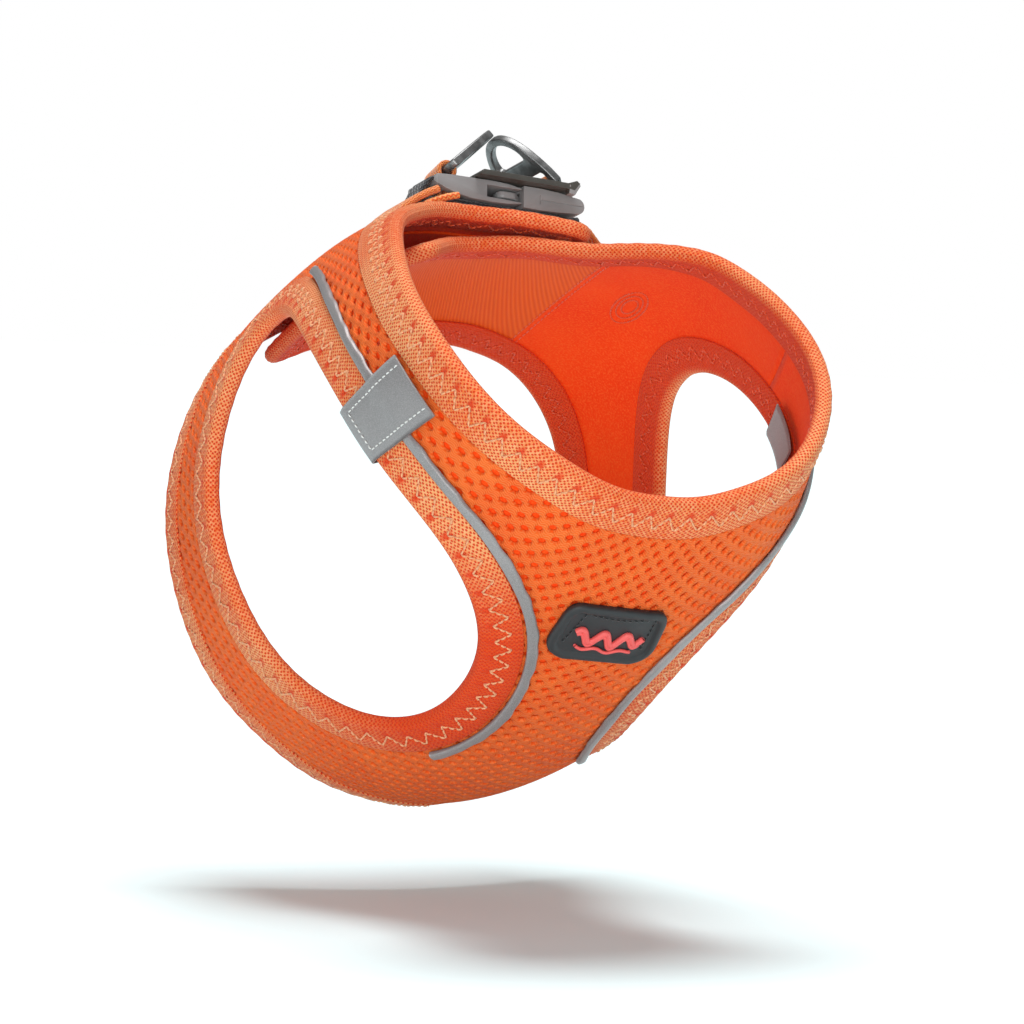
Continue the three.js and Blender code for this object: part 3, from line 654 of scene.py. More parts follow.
def lining(name, low, high, node):
    """The smooth inner cloth. Its outer face shows through the mesh's holes."""
    p = LINING_PITCH
    first, last = low * CLOTH_DEGREE, high * CLOTH_DEGREE
    columns = np.linspace(first, last, int(round((last - first) / p)) + 1)
    rows = np.arange(0, 215, p)
    u, v = np.meshgrid(columns, rows, indexing="ij")
    angle = u / CLOTH_DEGREE
    along = v / length_at(angle)
    quads = grid_quads(len(columns), len(rows))
    mid_angle = angle.ravel()[quads].mean(1)
    mid_along = along.ravel()[quads].mean(1)
    keep = (mid_along < 1) & (edge_distance(mid_angle, mid_along) > 4.2)
    quads = quads[keep]
    used, quads = np.unique(quads, return_inverse=True)
    quads = quads.reshape(-1, 4)
    u, v = u.ravel()[used], v.ravel()[used]
    inner_face, outer_face = (cloth_point(u, v, np.full(len(u), level)) for level in LINING)
    vertices, faces = two_faced(quads[:, ::-1], inner_face, outer_face)
    flat = np.tile(np.stack([u, v], 1), (2, 1))
    piece = make(name, vertices, faces, [BACKING, TWILL], corner_uv=flat[np.array(faces).ravel()],
                 replaces=[node], slot="lining_knit")
    count = len(quads)
    for polygon in piece.data.polygons:
        if count <= polygon.index < 2 * count and flat[polygon.vertices[0]][0] > FACING_ANGLE * CLOTH_DEGREE:
            polygon.material_index = 1
    area = len(quads) * p * p * 1e-6
    return piece, area, (np.ptp(u) + p) * MM, (np.ptp(v) + p) * MM


# ---- binding tape ----
def tape_place(t, rise):
    """Where a point of the tape lies: t runs across it, from its outer arm's edge round the fold."""
    t = np.asarray(t, float)
    middle = (TAPE["outside"] + TAPE["inside"]) / 2
    root = TAPE["start"] - TAPE["arm"]
    phi = np.clip((t - TAPE["arm"]) / TAPE_RADIUS, 0, math.pi)
    beyond = np.maximum(t - TAPE["arm"] - math.pi * TAPE_RADIUS, 0)
    x = root + np.maximum(TAPE["arm"] - t, 0) + beyond - (TAPE_RADIUS + rise) * np.sin(phi)
    y = middle + (TAPE_RADIUS + rise) * np.cos(phi)
    dip = 0.45 * smooth(x, 8.5, 13)
    return x, y - dip * np.sign(y - middle)


def tape_ribs(t):
    """The knit's raised rows, everywhere but on the flat bands that the zigzag crosses."""
    from_edge = np.minimum(t, TAPE_SPAN - t)
    low, high = TAPE["flat"]
    flat = smooth(from_edge, low - 0.5, low) * (1 - smooth(from_edge, high, high + 0.5))
    return TAPE["rib_height"] * (np.abs(np.cos(np.pi * t / TAPE["rib"])) - 0.5) * (1 - 0.8 * flat)


def zigzag(length, period):
    """How far across the tape the zigzag stitch is."""
    share = np.abs((length / period) % 1.0 - 0.5) * 2
    return ZIGZAG["near"] + (ZIGZAG["far"] - ZIGZAG["near"]) * share


def binding(name, edge, inward, start, end, nudge, closed, node):
    """Ribbed tape folded over an edge, grooved along its zigzag stitching."""
    stops, lengths = even_stops(edge, start, end, 1.1)
    period = lengths[-1] / round(lengths[-1] / ZIGZAG["period"])
    flat_low, flat_high = TAPE["flat"]
    fine = TAPE["rib"] / 4
    t = np.concatenate([np.arange(0, flat_low, fine), np.arange(flat_low, flat_high, 2 * fine),
                        np.arange(flat_high, TAPE_SPAN / 2, fine)])
    t = np.concatenate([t, TAPE_SPAN - t[::-1]])
    inner = np.linspace(TAPE_SPAN - 0.2, 0.2, 12)
    width = np.concatenate([t, inner])
    if closed:
        ring_stops, ring_lengths = stops[:-1], lengths[:-1]
    else:
        ring_stops, ring_lengths = stops, lengths
    from_edge = np.minimum(t, TAPE_SPAN - t)
    stitch = zigzag(ring_lengths, period)[:, None]
    groove = ZIGZAG["groove"] * np.exp(-((from_edge[None, :] - stitch) / 0.7) ** 2)
    swing = 0.16 * np.cos(2 * np.pi * ring_lengths / period)
    pucker = swing[:, None] * smooth(from_edge, 7, 9)[None, :] * (1 - smooth(from_edge, 9, 12))[None, :]
    rise = tape_ribs(t)[None, :] - groove + pucker
    rise = np.concatenate([rise, np.full((len(ring_stops), len(inner)), -TAPE["thick"])], 1)
    x, y = tape_place(np.broadcast_to(width, rise.shape), rise)
    frames = [part[:, None] for part in edge_frames(edge, inward, ring_stops, nudge)]
    points = place(frames, x, y)
    if inward < 0:
        points = points[:, ::-1]
        across = np.concatenate([width[::-1], [width[-1]]])
    else:
        across = np.concatenate([width, [0.0]])
    vertices, faces, uv = skin(points, lengths * ZIGZAG["period"] / period, across, closed, True)
    faces = faces.tolist()
    if not closed:
        columns = points.shape[1]
        last = (len(ring_stops) - 1) * columns
        uv = np.concatenate([uv, np.zeros((2 * columns, 2))])
        faces.append(list(reversed(range(columns))))
        faces.append([last + n for n in range(columns)])
    make(name, vertices, faces, TAPE_KNIT, corner_uv=uv, replaces=[node], slot="binding_tape")
    zigzag_stitches(name + "_zigzag", edge, inward, stops, lengths, nudge, period)


def zigzag_stitches(name, edge, inward, stops, lengths, nudge, period):
    """Three short stitches to each leg of the zigzag, on both faces of the tape."""
    legs = int(round(2 * lengths[-1] / period))
    count = ZIGZAG["stitches"]
    begin = ((np.arange(legs)[:, None] + (np.arange(count)[None, :] + 0.04) / count) * period / 2).ravel()
    share = np.linspace(0, 0.92 / count, 4) * period / 2
    along = np.clip(begin[:, None] + share[None, :], 0, lengths[-1])
    across = zigzag(along, period)
    lift = np.array([-0.34, 0.02, 0.02, -0.34])[None, :]
    paths, normals = [], []
    for t in (across, TAPE_SPAN - across):
        at = np.interp(along.ravel(), lengths, stops)
        frames = edge_frames(edge, inward, at, nudge)
        x, y = tape_place(t.ravel(), np.broadcast_to(lift, t.shape).ravel())
        x_up, y_up = tape_place(t.ravel(), np.broadcast_to(lift + 1, t.shape).ravel())
        low, high = place(frames, x, y), place(frames, x_up, y_up)
        paths.append(low.reshape(*along.shape, 3))
        normals.append(unit(high - low).reshape(*along.shape, 3))
    threads(name, paths[0], normals[0], 0.33, PEACH_THREAD)
    threads(name + "_inner", paths[1], normals[1], 0.28, RED_THREAD)


# ---- trim ----
def turn_at(leg, angle):
    """The turn round a leg hole at which its neck side reaches an angle round the body."""
    c = (angle - leg["angle"]) / leg["reach"]
    return -math.degrees(math.acos(math.copysign(abs(c) ** (LEG_SQUARENESS / 2), c)))


def close_ends(faces, uv, rows, columns):
    faces = faces.tolist()
    faces.append(list(reversed(range(columns))))
    faces.append([(rows - 1) * columns + n for n in range(columns)])
    return faces, np.concatenate([uv, np.zeros((2 * columns, 2))])


def edge_strip(name, leg, section, start, end, pitch, material, waver=None, slant=0, **kept):
    """A closed section of (x, y) points carried along a leg hole's edge."""
    edge = leg_hole(leg)
    stops, lengths = even_stops(edge, start, end, pitch)
    section = np.array(section, float)
    x = np.broadcast_to(section[:, 0], (len(stops), len(section)))
    y = np.broadcast_to(section[:, 1], (len(stops), len(section)))
    if waver is not None:
        x, y = waver(lengths[:, None], x, y)
    frames = [part[:, None] for part in edge_frames(edge, leg["side"], stops, 0.5, slant)]
    points = place(frames, x, y)
    around = np.concatenate([[0], np.cumsum(np.hypot(*np.diff(section, axis=0).T)), [0]])
    if leg["side"] < 0:
        points = points[:, ::-1]
        around = np.concatenate([around[-2::-1], [around[-2]]])
    vertices, faces, uv = skin(points, lengths, around, False, True)
    faces, uv = close_ends(faces, uv, len(stops), len(section))
    return make(name, vertices, faces, material, corner_uv=uv, **kept)


def rounded(points, radius, steps=4):
    """A closed outline with its corners rounded."""
    points = [Vector(p) for p in points]
    out = []
    for before, here, after in zip(points[-1:] + points[:-1], points, points[1:] + points[:1]):
        back, ahead = (before - here), (after - here)
        cut = min(radius, back.length * 0.45, ahead.length * 0.45)
        a, b = here + back.normalized() * cut, here + ahead.normalized() * cut
        for n in range(steps + 1):
            w = n / steps
            out.append(tuple(a.lerp(here, w).lerp(here.lerp(b, w), w)))
    return out


def piping(side, leg):
    """Folded reflective piping, pinched unevenly by its seam."""
    inset, width, low, high = PIPING["inset"], PIPING["width"], PIPING["low"], PIPING["high"]
    outer = inset + width
    corners = [(inset, low), (inset, high - 0.3), (inset + 1, high), (outer - 0.5, high - 0.15),
               (outer, low + 0.5), (outer - 0.4, low)]
    section = rounded(corners, 0.5, 3)

    def waver(length, x, y):
        pinch = 0.28 * np.sin(length / 5.1) * np.sin(length / 2.3 + 1) + 0.12 * np.sin(length / 0.9)
        x = x + pinch * smooth(x, inset + 0.6, outer)
        return x, y + 0.12 * np.sin(length / 3.7 + 2) * smooth(y, low, high)

    name = side + "_reflective_piping"
    return edge_strip(name + "_fold", leg, section, PIPING["start"], PIPING["end"], 0.9, GREY, waver,
                      replaces=[name], slot="reflective_tape")


def tab(side, leg):
    """A grey tab wrapped round the strap's leg edge, with a row of white stitches inside its border."""
    half = TAB["width"] / 2 / 1.55
    start, end = turn_at(leg, TAB["angle"] - half), turn_at(leg, TAB["angle"] + half)
    outside, inside = TAB["outside"], TAB["inside"]
    outer = [(outside, 4.3), (outside - 3, 4.55), (16.5, 4.75), (12, 4.35), (6, 4.3), (2, 4.1), (-0.2, 3.4)]
    outer += [(-1.1, 2.2), (-1.4, 0.4), (-1.1, -1.4), (-0.2, -2.7), (2, -3.3), (6, -3.4), (inside, -3.35)]
    inner = [(x + (0.5 if x < 2 else 0), y * (1 if abs(y) < 3 else 0.87)) for x, y in reversed(outer)]
    inner[0] = (inside, -2.95)
    inner[-1] = (outside, 3.8)
    dense = []
    for points in (outer, inner):
        steps = np.linspace(0, len(points) - 1, 4 * len(points))
        dense += list(zip(np.interp(steps, range(len(points)), [p[0] for p in points]),
                          np.interp(steps, range(len(points)), [p[1] for p in points])))
    edge_strip(side + "_reflective_tab_wrap", leg, dense, start, end, 0.9, GREY,
               slant=TAB["slant"], replaces=[side + "_reflective_tab"], slot="reflective_tape")
    edge = leg_hole(leg)
    stops, lengths = even_stops(edge, start, end, 0.5)
    run = lengths[-1]
    margin = 2.6
    heights = ([p[0] for p in outer[:7]][::-1], [p[1] for p in outer[:7]][::-1])
    line = [(margin, outside - 0.6), (margin, 3.2), (run - margin, 3.2), (run - margin, outside - 0.6)]
    begin, finish = dashes(line, 1.7, 0.62)
    share = np.linspace(0, 1, 5)[None, :, None]
    path = begin[:, None, :] + (finish - begin)[:, None, :] * share
    lift = np.array([-0.1, 0.16, 0.2, 0.16, -0.1])
    at = np.interp(path[..., 0].ravel(), lengths, stops)
    frames = edge_frames(edge, leg["side"], at, 0.5, TAB["slant"])
    x = path[..., 1].ravel()
    y = np.interp(x, *heights) + np.tile(lift, len(begin))
    low, high = place(frames, x, y), place(frames, x, y + 1)
    up = unit(high - low).reshape(-1, 5, 3)
    threads(side + "_tab_stitching", low.reshape(-1, 5, 3), up, 0.24, WHITE_THREAD)


def dashes(line, pitch, share):
    """The two ends of each stitch along a broken line."""
    begin, finish = [], []
    for a, b in zip(line, line[1:]):
        a, b = np.array(a, float), np.array(b, float)
        count = max(int(round(np.linalg.norm(b - a) / pitch)), 1)
        for n in range(count):
            begin.append(a + (b - a) * (n + (1 - share) / 2) / count)
            finish.append(a + (b - a) * (n + (1 + share) / 2) / count)
    return np.array(begin), np.array(finish)


# ---- hardware on the saddle ----
def on_saddle(points):
    """Points of the saddle's frame, in the vest's frame."""
    turn = np.array(SADDLE)
    return np.asarray(points, float) @ turn[:3, :3].T + turn[:3, 3]


def prism(outline, low, high):
    """A closed prism of an outline in x and z, from one place along y to another, as a working object."""
    count = len(outline)
    points = [(x, y, z) for y in (low, high) for x, z in outline]
    faces = [list(range(count)), list(reversed(range(count, 2 * count)))]
    faces += [[(i + 1) % count, i, count + i, count + (i + 1) % count] for i in range(count)]
    mesh = bpy.data.meshes.new("workpiece")
    mesh.from_pydata(points, [], faces)
    work = bmesh.new()
    work.from_mesh(mesh)
    bmesh.ops.recalc_face_normals(work, faces=work.faces)
    work.to_mesh(mesh)
    work.free()
    piece = bpy.data.objects.new("workpiece", mesh)
    bpy.context.scene.collection.objects.link(piece)
    return piece


def upright(outline, low, high):
    """A closed prism of an outline in x and y, from one height to another, as a working object."""
    piece = prism(outline, low, high)
    for vertex in piece.data.vertices:
        x, z, y = vertex.co
        vertex.co = (x, y, z)
    piece.data.flip_normals()
    return piece


def box(x, y, z):
    return prism([(x[0], z[0]), (x[1], z[0]), (x[1], z[1]), (x[0], z[1])], *y)


def carve(body, cutters, bevel, joined=()):
    """The body with its joined parts, less its cutters and with its edges rounded, as points and faces."""
    for others, operation in ((joined, "UNION"), (cutters, "DIFFERENCE")):
        for other in others:
            cut = body.modifiers.new("cut", "BOOLEAN")
            cut.operation = operation
            cut.solver = "EXACT"
            cut.object = other
    edge = body.modifiers.new("edge", "BEVEL")
    edge.width = bevel
    edge.segments = 3
    edge.limit_method = "ANGLE"
    edge.angle_limit = math.radians(38)
    mesh = bpy.data.meshes.new_from_object(body.evaluated_get(bpy.context.evaluated_depsgraph_get()))
    points = np.array([tuple(v.co) for v in mesh.vertices])
    faces = [list(p.vertices) for p in mesh.polygons]
    for piece in (body, *cutters, *joined):
        bpy.data.objects.remove(piece)
    return points, faces


def on_seat(points, side):
    """Points of the frame that stands on a ring's bar, in the saddle's frame."""
    turn = math.radians(RING_YAW[side])
    points = np.asarray(points, float)
    x, y = points[..., 0], points[..., 1]
    across = RING_X[side] + x * math.cos(turn) - y * math.sin(turn)
    return np.stack([across, x * math.sin(turn) + y * math.cos(turn), points[..., 2]], -1)


def hard(name, points, faces, material, body, replaces, slot):
    piece = make(name, on_saddle(points), faces, material, body, replaces=replaces, slot=slot)
    piece.data.set_sharp_from_angle(angle=math.radians(42))
    return piece


def arc(centre, radius, start, end, count):
    turns = np.radians(np.linspace(start, end, count))
    return [(centre[0] + radius * math.cos(t), centre[1] + radius * math.sin(t)) for t in turns]


def buckle_female():
    """The socket half: a thin rounded end, a webbing slot, and two side windows between tapered arms."""
    left, mouth = BUCKLE["left"], BUCKLE["mouth"]
    low, high, half = BUCKLE["low"], BUCKLE["high"], BUCKLE["half"]
    tip = mouth - 0.9
    outline = arc((left + 1.5, 6.9), 1.5, 90, 250, 9)
    outline += [(left + 3.6, 4.4), (left + 7.5, 3.3), (left + 12, low)]
    outline += [(-6, low - 0.1), (-1, low + 0.1), (mouth - 1.2, low + 0.7)]
    outline += arc((tip, low + 1.25), 0.6, -80, 80, 5) + arc((tip, high - 1.25), 0.6, -80, 80, 5)
    outline += [(mouth - 1.2, high - 0.7), (-1, high - 0.1), (-6, high + 0.1), (left + 12, high)]
    outline += [(left + 6, high - 0.1)]
    body = prism(outline, -half, half)
    end, bottom, top = WINDOW["left"], WINDOW["low"], WINDOW["high"]
    opening = [(end, bottom), (-2, bottom), (mouth + 2, bottom - 0.2)]
    opening += [(mouth + 2, top + 0.2), (-2, top), (end, top)]
    window = prism(opening, -half - 1, half + 1)
    slot = box((-20.8, -15.4), (-10.7, 8.6), (low - 3, high + 3))
    socket = box((-11.2, -3), (-2.9, 2.9), (bottom, top))
    past = left - 1
    near = [(past, -half - 1), (left + 1.8, -half - 1), (past, -half + 1.8)]
    far = [(past, half + 1), (past, 3.5), (left, 3.5), (left + 6, half - 0.4), (left + 6, half + 1)]
    corners = [upright(outline, low - 3, high + 3) for outline in (near, far)]
    points, faces = carve(body, [window, slot, socket, *corners], 0.4)
    return hard("buckle_socket_half", points, faces, GREY_PLASTIC, "vest", ["buckle_female"], "grey_plastic")


def buckle_male():
    """The plug half: a full-height shoulder, a moulded parting line, a rounded end and a guide tongue."""
    right, shoulder = BUCKLE["right"], BUCKLE["mouth"] + 0.35
    low, high, half = BUCKLE["low"], BUCKLE["high"], BUCKLE["half"]
    outline = [(shoulder, low - 0.15), (shoulder + 6, low - 0.2), (shoulder + 11, low)]
    outline += [(right - 4, low + 0.45)]
    outline += arc((right - 2.4, 5.5), 2.4, -70, 70, 9)
    outline += [(right - 4, high - 0.75), (shoulder + 11, high - 0.1)]
    outline += [(shoulder + 6, high + 0.2), (shoulder, high + 0.15)]
    body = prism(outline, -half, half)
    cutters = [box((10.8, 17.4), (-10.7, 10.7), (low - 3, high + 3))]
    for side in (-1, 1):
        skin_deep = sorted((side * (half - 0.28), side * (half + 1)))
        cutters.append(box((shoulder - 1, 9), sorted((side * 5.2, side * 10.6)), (low + 1.5, high - 1.5)))
        cutters.append(box((9.5, right - 0.6), skin_deep, (5.42, 5.72)))
        cutters.append(box((9.2, 9.5), skin_deep, (4.3, 6.9)))
    tongue = box((-10.5, shoulder + 1), (-2.4, 2.4), (low + 2.2, high - 2.2))
    points, faces = carve(body, cutters, 0.35, [tongue])
    return hard("buckle_plug_half", points, faces, GREY_PLASTIC, "male_half", ["buckle_male"], "grey_plastic")


def prong(name, side):
    """A sprung prong, curved in plan, with its thumb pad in the side window."""
    outline = [(8.6, 6.2), (8.6, 9.6), (4.6, 9.7), (2.4, 11.6), (1.2, 12.6), (-0.6, 12.7)]
    outline += arc((-1.6, 10.6), 2.1, 80, 200, 8) + [(-3.4, 7.6), (-2.4, 6.3), (0, 6.6), (4, 6.4)]
    plan = prism([(x, side * y) for x, y in outline], -1.05, 1.05)
    points, faces = carve(plan, [], 0.45)
    points = np.stack([points[:, 0], points[:, 2], 5.7 + points[:, 1]], 1)
    faces = [face[::-1] for face in faces]
    return hard(name + "_sprung", points, faces, GREY_PLASTIC, name, [name], "grey_plastic")


def strap_slide():
    """A slim slide on top of the plug: a slanted left end and a right end that turns up and is thicker."""
    outline = [(-12, 9.2), (15.6, 9.2), (18.8, 8.95), (20.7, 11.2), (19.6, 12), (16.8, 10.9), (-10.9, 10.8)]
    body = prism(outline, -17, 17)
    gaps = [box((9.2, 17), (-11.4, 11.4), (7, 15)), box((-8.8, 6.4), (-9.6, 9.6), (7, 15))]
    lug = [(16.9, 7.9), (18.9, 7.5), (20.8, 10.6), (19.6, 11.6), (17.2, 10.7)]
    lugs = [prism(lug, *sorted((side * 14.6, side * 17))) for side in (-1, 1)]
    points, faces = carve(body, gaps, 0.28, lugs)
    piece = hard("slim_strap_slide", points, faces, [DARK_PLASTIC, GREY_PLASTIC], "male_half",
                 ["strap_slide"], "black_plastic")
    for polygon in piece.data.polygons:
        middle = np.mean([points[n][0] for n in polygon.vertices])
        low = np.mean([points[n][2] for n in polygon.vertices])
        if middle > 17.2 and low < 10.3:
            polygon.material_index = 1
    return piece


def bezier(a, b, c, d, count):
    t = np.linspace(0, 1, count)[:, None]
    a, b, c, d = (np.array(p, float) for p in (a, b, c, d))
    return (((1 - t) ** 3) * a + 3 * t * (1 - t) ** 2 * b + 3 * t * t * (1 - t) * c + t ** 3 * d).tolist()


def d_ring(name, side, direction):
    """A cast ring: a rounded outline with a round leash hole over a straight webbing slot."""
    wide, reach, bar = RING["half_width"], RING["reach"], RING["bar"]
    right = bezier((wide - 0.6, 4), (wide - 2.6, 12), (7.6, reach), (0, reach), 14)
    outline = [(-wide + 1.2, -bar), (wide - 1.2, -bar), (wide, 0.2)] + right
    outline += [(-px, py) for px, py in right[-2::-1]] + [(-wide, 0.2)]
    edge = wide - 2.8
    slot_top, eye_low = RING["slot_top"], RING["eye_low"]
    slot = [(-edge, bar), (edge, bar), (edge - 0.3, slot_top - 0.8), (edge - 1.1, slot_top)]
    slot += [(-edge + 1.1, slot_top), (-edge + 0.3, slot_top - 0.8)]
    half_eye = bezier((7.5, eye_low + 0.7), (8, 13.6), (4.6, reach - 2.6), (0, reach - 2.6), 12)
    eye = [(6.4, eye_low), (-6.4, eye_low)] + [(-px, py) for px, py in half_eye] + half_eye[-2::-1]
    thick = RING["thickness"] / 2
    points, faces = carve(prism(outline, -thick, thick), [prism(slot, -4, 4), prism(eye, -4, 4)], 0.55)
    lean = math.radians(direction * RING["lean"])
    along, across, up = points[:, 0], points[:, 1], points[:, 2]
    points = np.stack([math.cos(lean) * across + math.sin(lean) * up, along,
                       RING["height"] - math.sin(lean) * across + math.cos(lean) * up], 1)
    points = on_seat(points, side)
    return hard(name + "_cast", points, faces, STEEL, side + "_ring", [name], "dark_steel")


def ribbon(name, line, half, thickness, material, body="vest", middle=0.0, seat=None, **kept):
    """A woven strap along a line of points in x and z, with ribbed round edges."""
    line = np.array(line, float)
    run = np.concatenate([[0], np.cumsum(np.hypot(*np.diff(line, axis=0).T))])
    lengths = np.linspace(0, run[-1], int(run[-1] / 0.4) + 2)
    path = np.stack([np.interp(lengths, run, line[:, 0]), np.interp(lengths, run, line[:, 1])], 1)
    tangent = np.gradient(path, axis=0)
    for _ in range(3):
        tangent[1:-1] = (tangent[:-2] + tangent[1:-1] + tangent[2:]) / 3
    tangent = unit(tangent)
    normal = np.stack([-tangent[:, 1], tangent[:, 0]], 1)
    square, bulge = half - thickness / 2, thickness / 2
    flat = np.linspace(-square, square, 14)
    ends = np.radians(np.linspace(-75, 75, 6))
    y = [flat, square + bulge * np.cos(ends[::-1]), flat[::-1], -square - bulge * np.cos(ends)]
    y = np.concatenate(y)
    level = np.full(14, 0.5)
    n = np.concatenate([level, 0.5 * np.sin(ends[::-1]), -level, 0.5 * np.sin(ends)]) * thickness
    beat = 0.5 + 0.5 * np.cos(2 * np.pi * lengths / 1.5)[:, None]
    tip = smooth(np.abs(y), square, half)[None, :]
    y = y[None, :] * (1 - 0.014 * beat * tip)
    n = n[None, :] * (1 - 0.28 * beat * tip)
    x, z = path[:, 0:1] + normal[:, 0:1] * n, path[:, 1:2] + normal[:, 1:2] * n
    points = np.stack([x, np.broadcast_to(y + middle, n.shape), z], -1)
    if seat:
        points = on_seat(points, seat)
    around = np.linspace(0, 4 * half, n.shape[1] + 1)
    vertices, faces, uv = skin(points[:, ::-1], lengths, around, False, True)
    faces, uv = close_ends(faces, uv, len(lengths), n.shape[1])
    return make(name, on_saddle(vertices), faces, material, body, corner_uv=uv, **kept)


def over_bar(left_foot, right_foot):
    """A strap's line up one side of a ring's bar, over it and down the other side."""
    top = arc((0, RING["height"]), 2.35, 205, -25, 15)
    left_knee, right_knee = ((foot[0], foot[1] + 4) for foot in (left_foot, right_foot))
    return [left_foot, left_knee, *top, right_knee, right_foot]


def webbing():
    """The black strap under the buckle, and the orange webbing of the rings, the shoulder and the flap."""
    black, orange = dict(slot="black_webbing"), dict(slot="orange_webbing")
    half, thick = WEB["half"], WEB["thickness"]
    line = [(-26, 0.8), (-24, 1.3), (-20, 1.5), (16, 1.5)]
    ribbon("back_base_strap", line, 9.4, 1.2, BLACK_WEB, middle=-3.6, replaces=["back_strap"], **black)
    line = [(-17, -0.5), (-12, -0.2), (4, -0.2), (17, 0), (22, 1.2)]
    ribbon("back_base_pad", line, 14.2, 2.2, BLACK_WEB, **black)
    line = [(-30.2, -2.6), (-29.4, 0.4), (-27.8, 3.8), (-26.2, 6.2), (-24.9, 7.1)]
    ribbon("back_base_strap_end", line, 5, 1.5, BLACK_WEB, middle=-7.8, **black)
    ribbon("right_ring_loop", over_bar((-2.2, 3), (0.4, 3)), half - 2.8, thick, ORANGE_WEB, seat="right",
           replaces=["right_ring_webbing"], **orange)
    ribbon("left_ring_loop", over_bar((-2.6, 3.2), (0.8, 3.2)), half, thick, ORANGE_WEB, "male_half",
           seat="left", replaces=["left_ring_webbing"], **orange)
    line = [(-40.5, -9), (-37, -6.2), (-33.8, -2.8), (-30.5, 0), (-27, 2.2), (-23.6, 3.9)]
    ribbon("right_shoulder_strap", line, 10.4, 2.2, ORANGE_WEB, middle=-3.8,
           replaces=["right_shoulder_webbing"], **orange)
    line = [(-28.6, -2.6), (-27, -1.0), (-24, 0.5), (-20.6, 1.9), (-17.2, 2.9)]
    ribbon("right_shoulder_strap_fold", line, 4.4, 2.0, ORANGE_WEB, middle=-9.8, **orange)
    line = [(20.4, 1.9), (24.8, 1.8), (28, 0.2), (31.5, -3.6), (34.8, -8), (38.6, -11.4), TETHER_END]
    tether = ribbon("left_flap_tether", line, half, thick, ORANGE_WEB,
                    replaces=["left_tether_webbing"], **orange)
    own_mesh(tether)


# ---- label, patches and the marks of sewing ----
def patch_frame(centre, along):
    """Places millimetres round and along the vest, from a centre, on the surface."""
    _, around, back, _ = slopes(centre, along)
    per_degree, per_share = np.linalg.norm(around), np.linalg.norm(back)

    def at(x, y, height):
        return on_vest(centre + np.asarray(x) / per_degree, along + np.asarray(y) / per_share, height)
    return at


def rounded_patch(name, at, width, length, corner, rings, material, skew=0.0, **kept):
    """A pad with rounded corners. Each ring is how far in from its outline and how high it is."""
    x, y = width / 2, length / 2
    outline = np.array(rounded([(-x + skew, -y), (x, -y), (x - skew, y), (-x, y)], corner, 8))
    before, after = np.roll(outline, 1, 0), np.roll(outline, -1, 0)
    inward = unit(after - before)[:, ::-1] * np.array([-1, 1])
    count = len(outline)
    layers = [at(*(outline + inward * inset).T, np.full(count, float(height))) for inset, height in rings]
    for share in (0.75, 0.5, 0.25):
        inner = (outline + inward * rings[-1][0]) * share
        layers.append(at(*inner.T, np.full(count, float(rings[-1][1]))))
    points = np.array(layers)
    vertices, faces, _ = skin(points, np.arange(len(layers)), np.arange(count + 1), False, True)
    faces = faces[:, ::-1].tolist()
    faces.append(list(reversed(range(count))))
    faces.append([(len(layers) - 1) * count + n for n in range(count)])
    return make(name, vertices, faces, material, **kept)


def tube(name, path, radius, material, lift, body="vest", sides=8, **kept):
    """A closed round bead along a path of points, with its up direction given."""
    path, lift = np.asarray(path), np.asarray(lift)
    tangent = unit(np.gradient(path, axis=0))
    side = unit(np.cross(lift, tangent))
    up = np.cross(tangent, side)
    turn = np.arange(sides) * 2 * np.pi / sides
    radius = np.broadcast_to(radius, len(path))[:, None, None]
    ring = np.cos(turn)[None, :, None] * side[:, None] + np.sin(turn)[None, :, None] * up[:, None]
    points = path[:, None, :] + radius * ring
    vertices, faces, uv = skin(points, np.arange(len(path)) * 1.0, np.arange(sides + 1) * 1.0, False, True)
    faces, uv = close_ends(faces, uv, len(path), sides)
    return make(name, vertices, faces, material, body, corner_uv=uv, **kept)


def label():
    """A moulded rubber label: a raised border, a recessed face, stitches round it and a plain wave emblem."""
    at = patch_frame(LABEL["angle"], LABEL["along"])
    rings = [(0.3, 2.2), (0, 2.7), (0, 3.7), (0.35, 4.25), (0.9, 4.45), (1.9, 4.45)]
    rings += [(2.3, 4.2), (2.6, 3.75), (3, 3.65)]
    rounded_patch("moulded_label", at, LABEL["width"], LABEL["height"], LABEL["corner"], rings, RUBBER,
                  skew=-0.8, replaces=["chest_label"], slot="label_rubber")
    for number, (reach, middle, size, pitch, thick) in enumerate(LABEL_WAVES):
        x = np.linspace(-reach, reach, 130)
        swing = middle + size * np.sin(x * pitch) * (1 - 0.3 * (x / reach) ** 2) + 0.3 * np.sin(x * 0.9 + 1)
        level = np.full(len(x), 4.0)
        replaced = ["label_emblem"] if number == 0 else []
        lift = at(x, swing, level + 1) - at(x, swing, level)
        tube("label_wave_" + str(number + 1), at(x, swing, level + 0.1), thick, EMBLEM, lift,
             replaces=replaced, slot="emblem_rubber")
    half, tall = LABEL["width"] / 2 - 2.7, LABEL["height"] / 2 - 2.7
    line = [(-half + 1, tall - 3), (-half + 2.6, -tall), (half - 1, -tall), (half - 1.4, tall - 3)]
    surface_stitches("label_stitching", at, line, 1.9, 0.6, 3.75, 0.25, DARK_THREAD)


def surface_stitches(name, at, line, pitch, share, height, radius, material):
    """A row of stitches over a patch of the surface, each sunk at its ends."""
    begin, finish = dashes(line, pitch, share)
    steps = np.linspace(0, 1, 5)[None, :, None]
    path = begin[:, None, :] + (finish - begin)[:, None, :] * steps
    lift = height + np.tile(np.array([-0.15, 0.08, 0.12, 0.08, -0.15]), (len(begin), 1))
    low, high = at(path[..., 0], path[..., 1], lift), at(path[..., 0], path[..., 1], lift + 1)
    return threads(name, low, unit(high - low), radius, material)


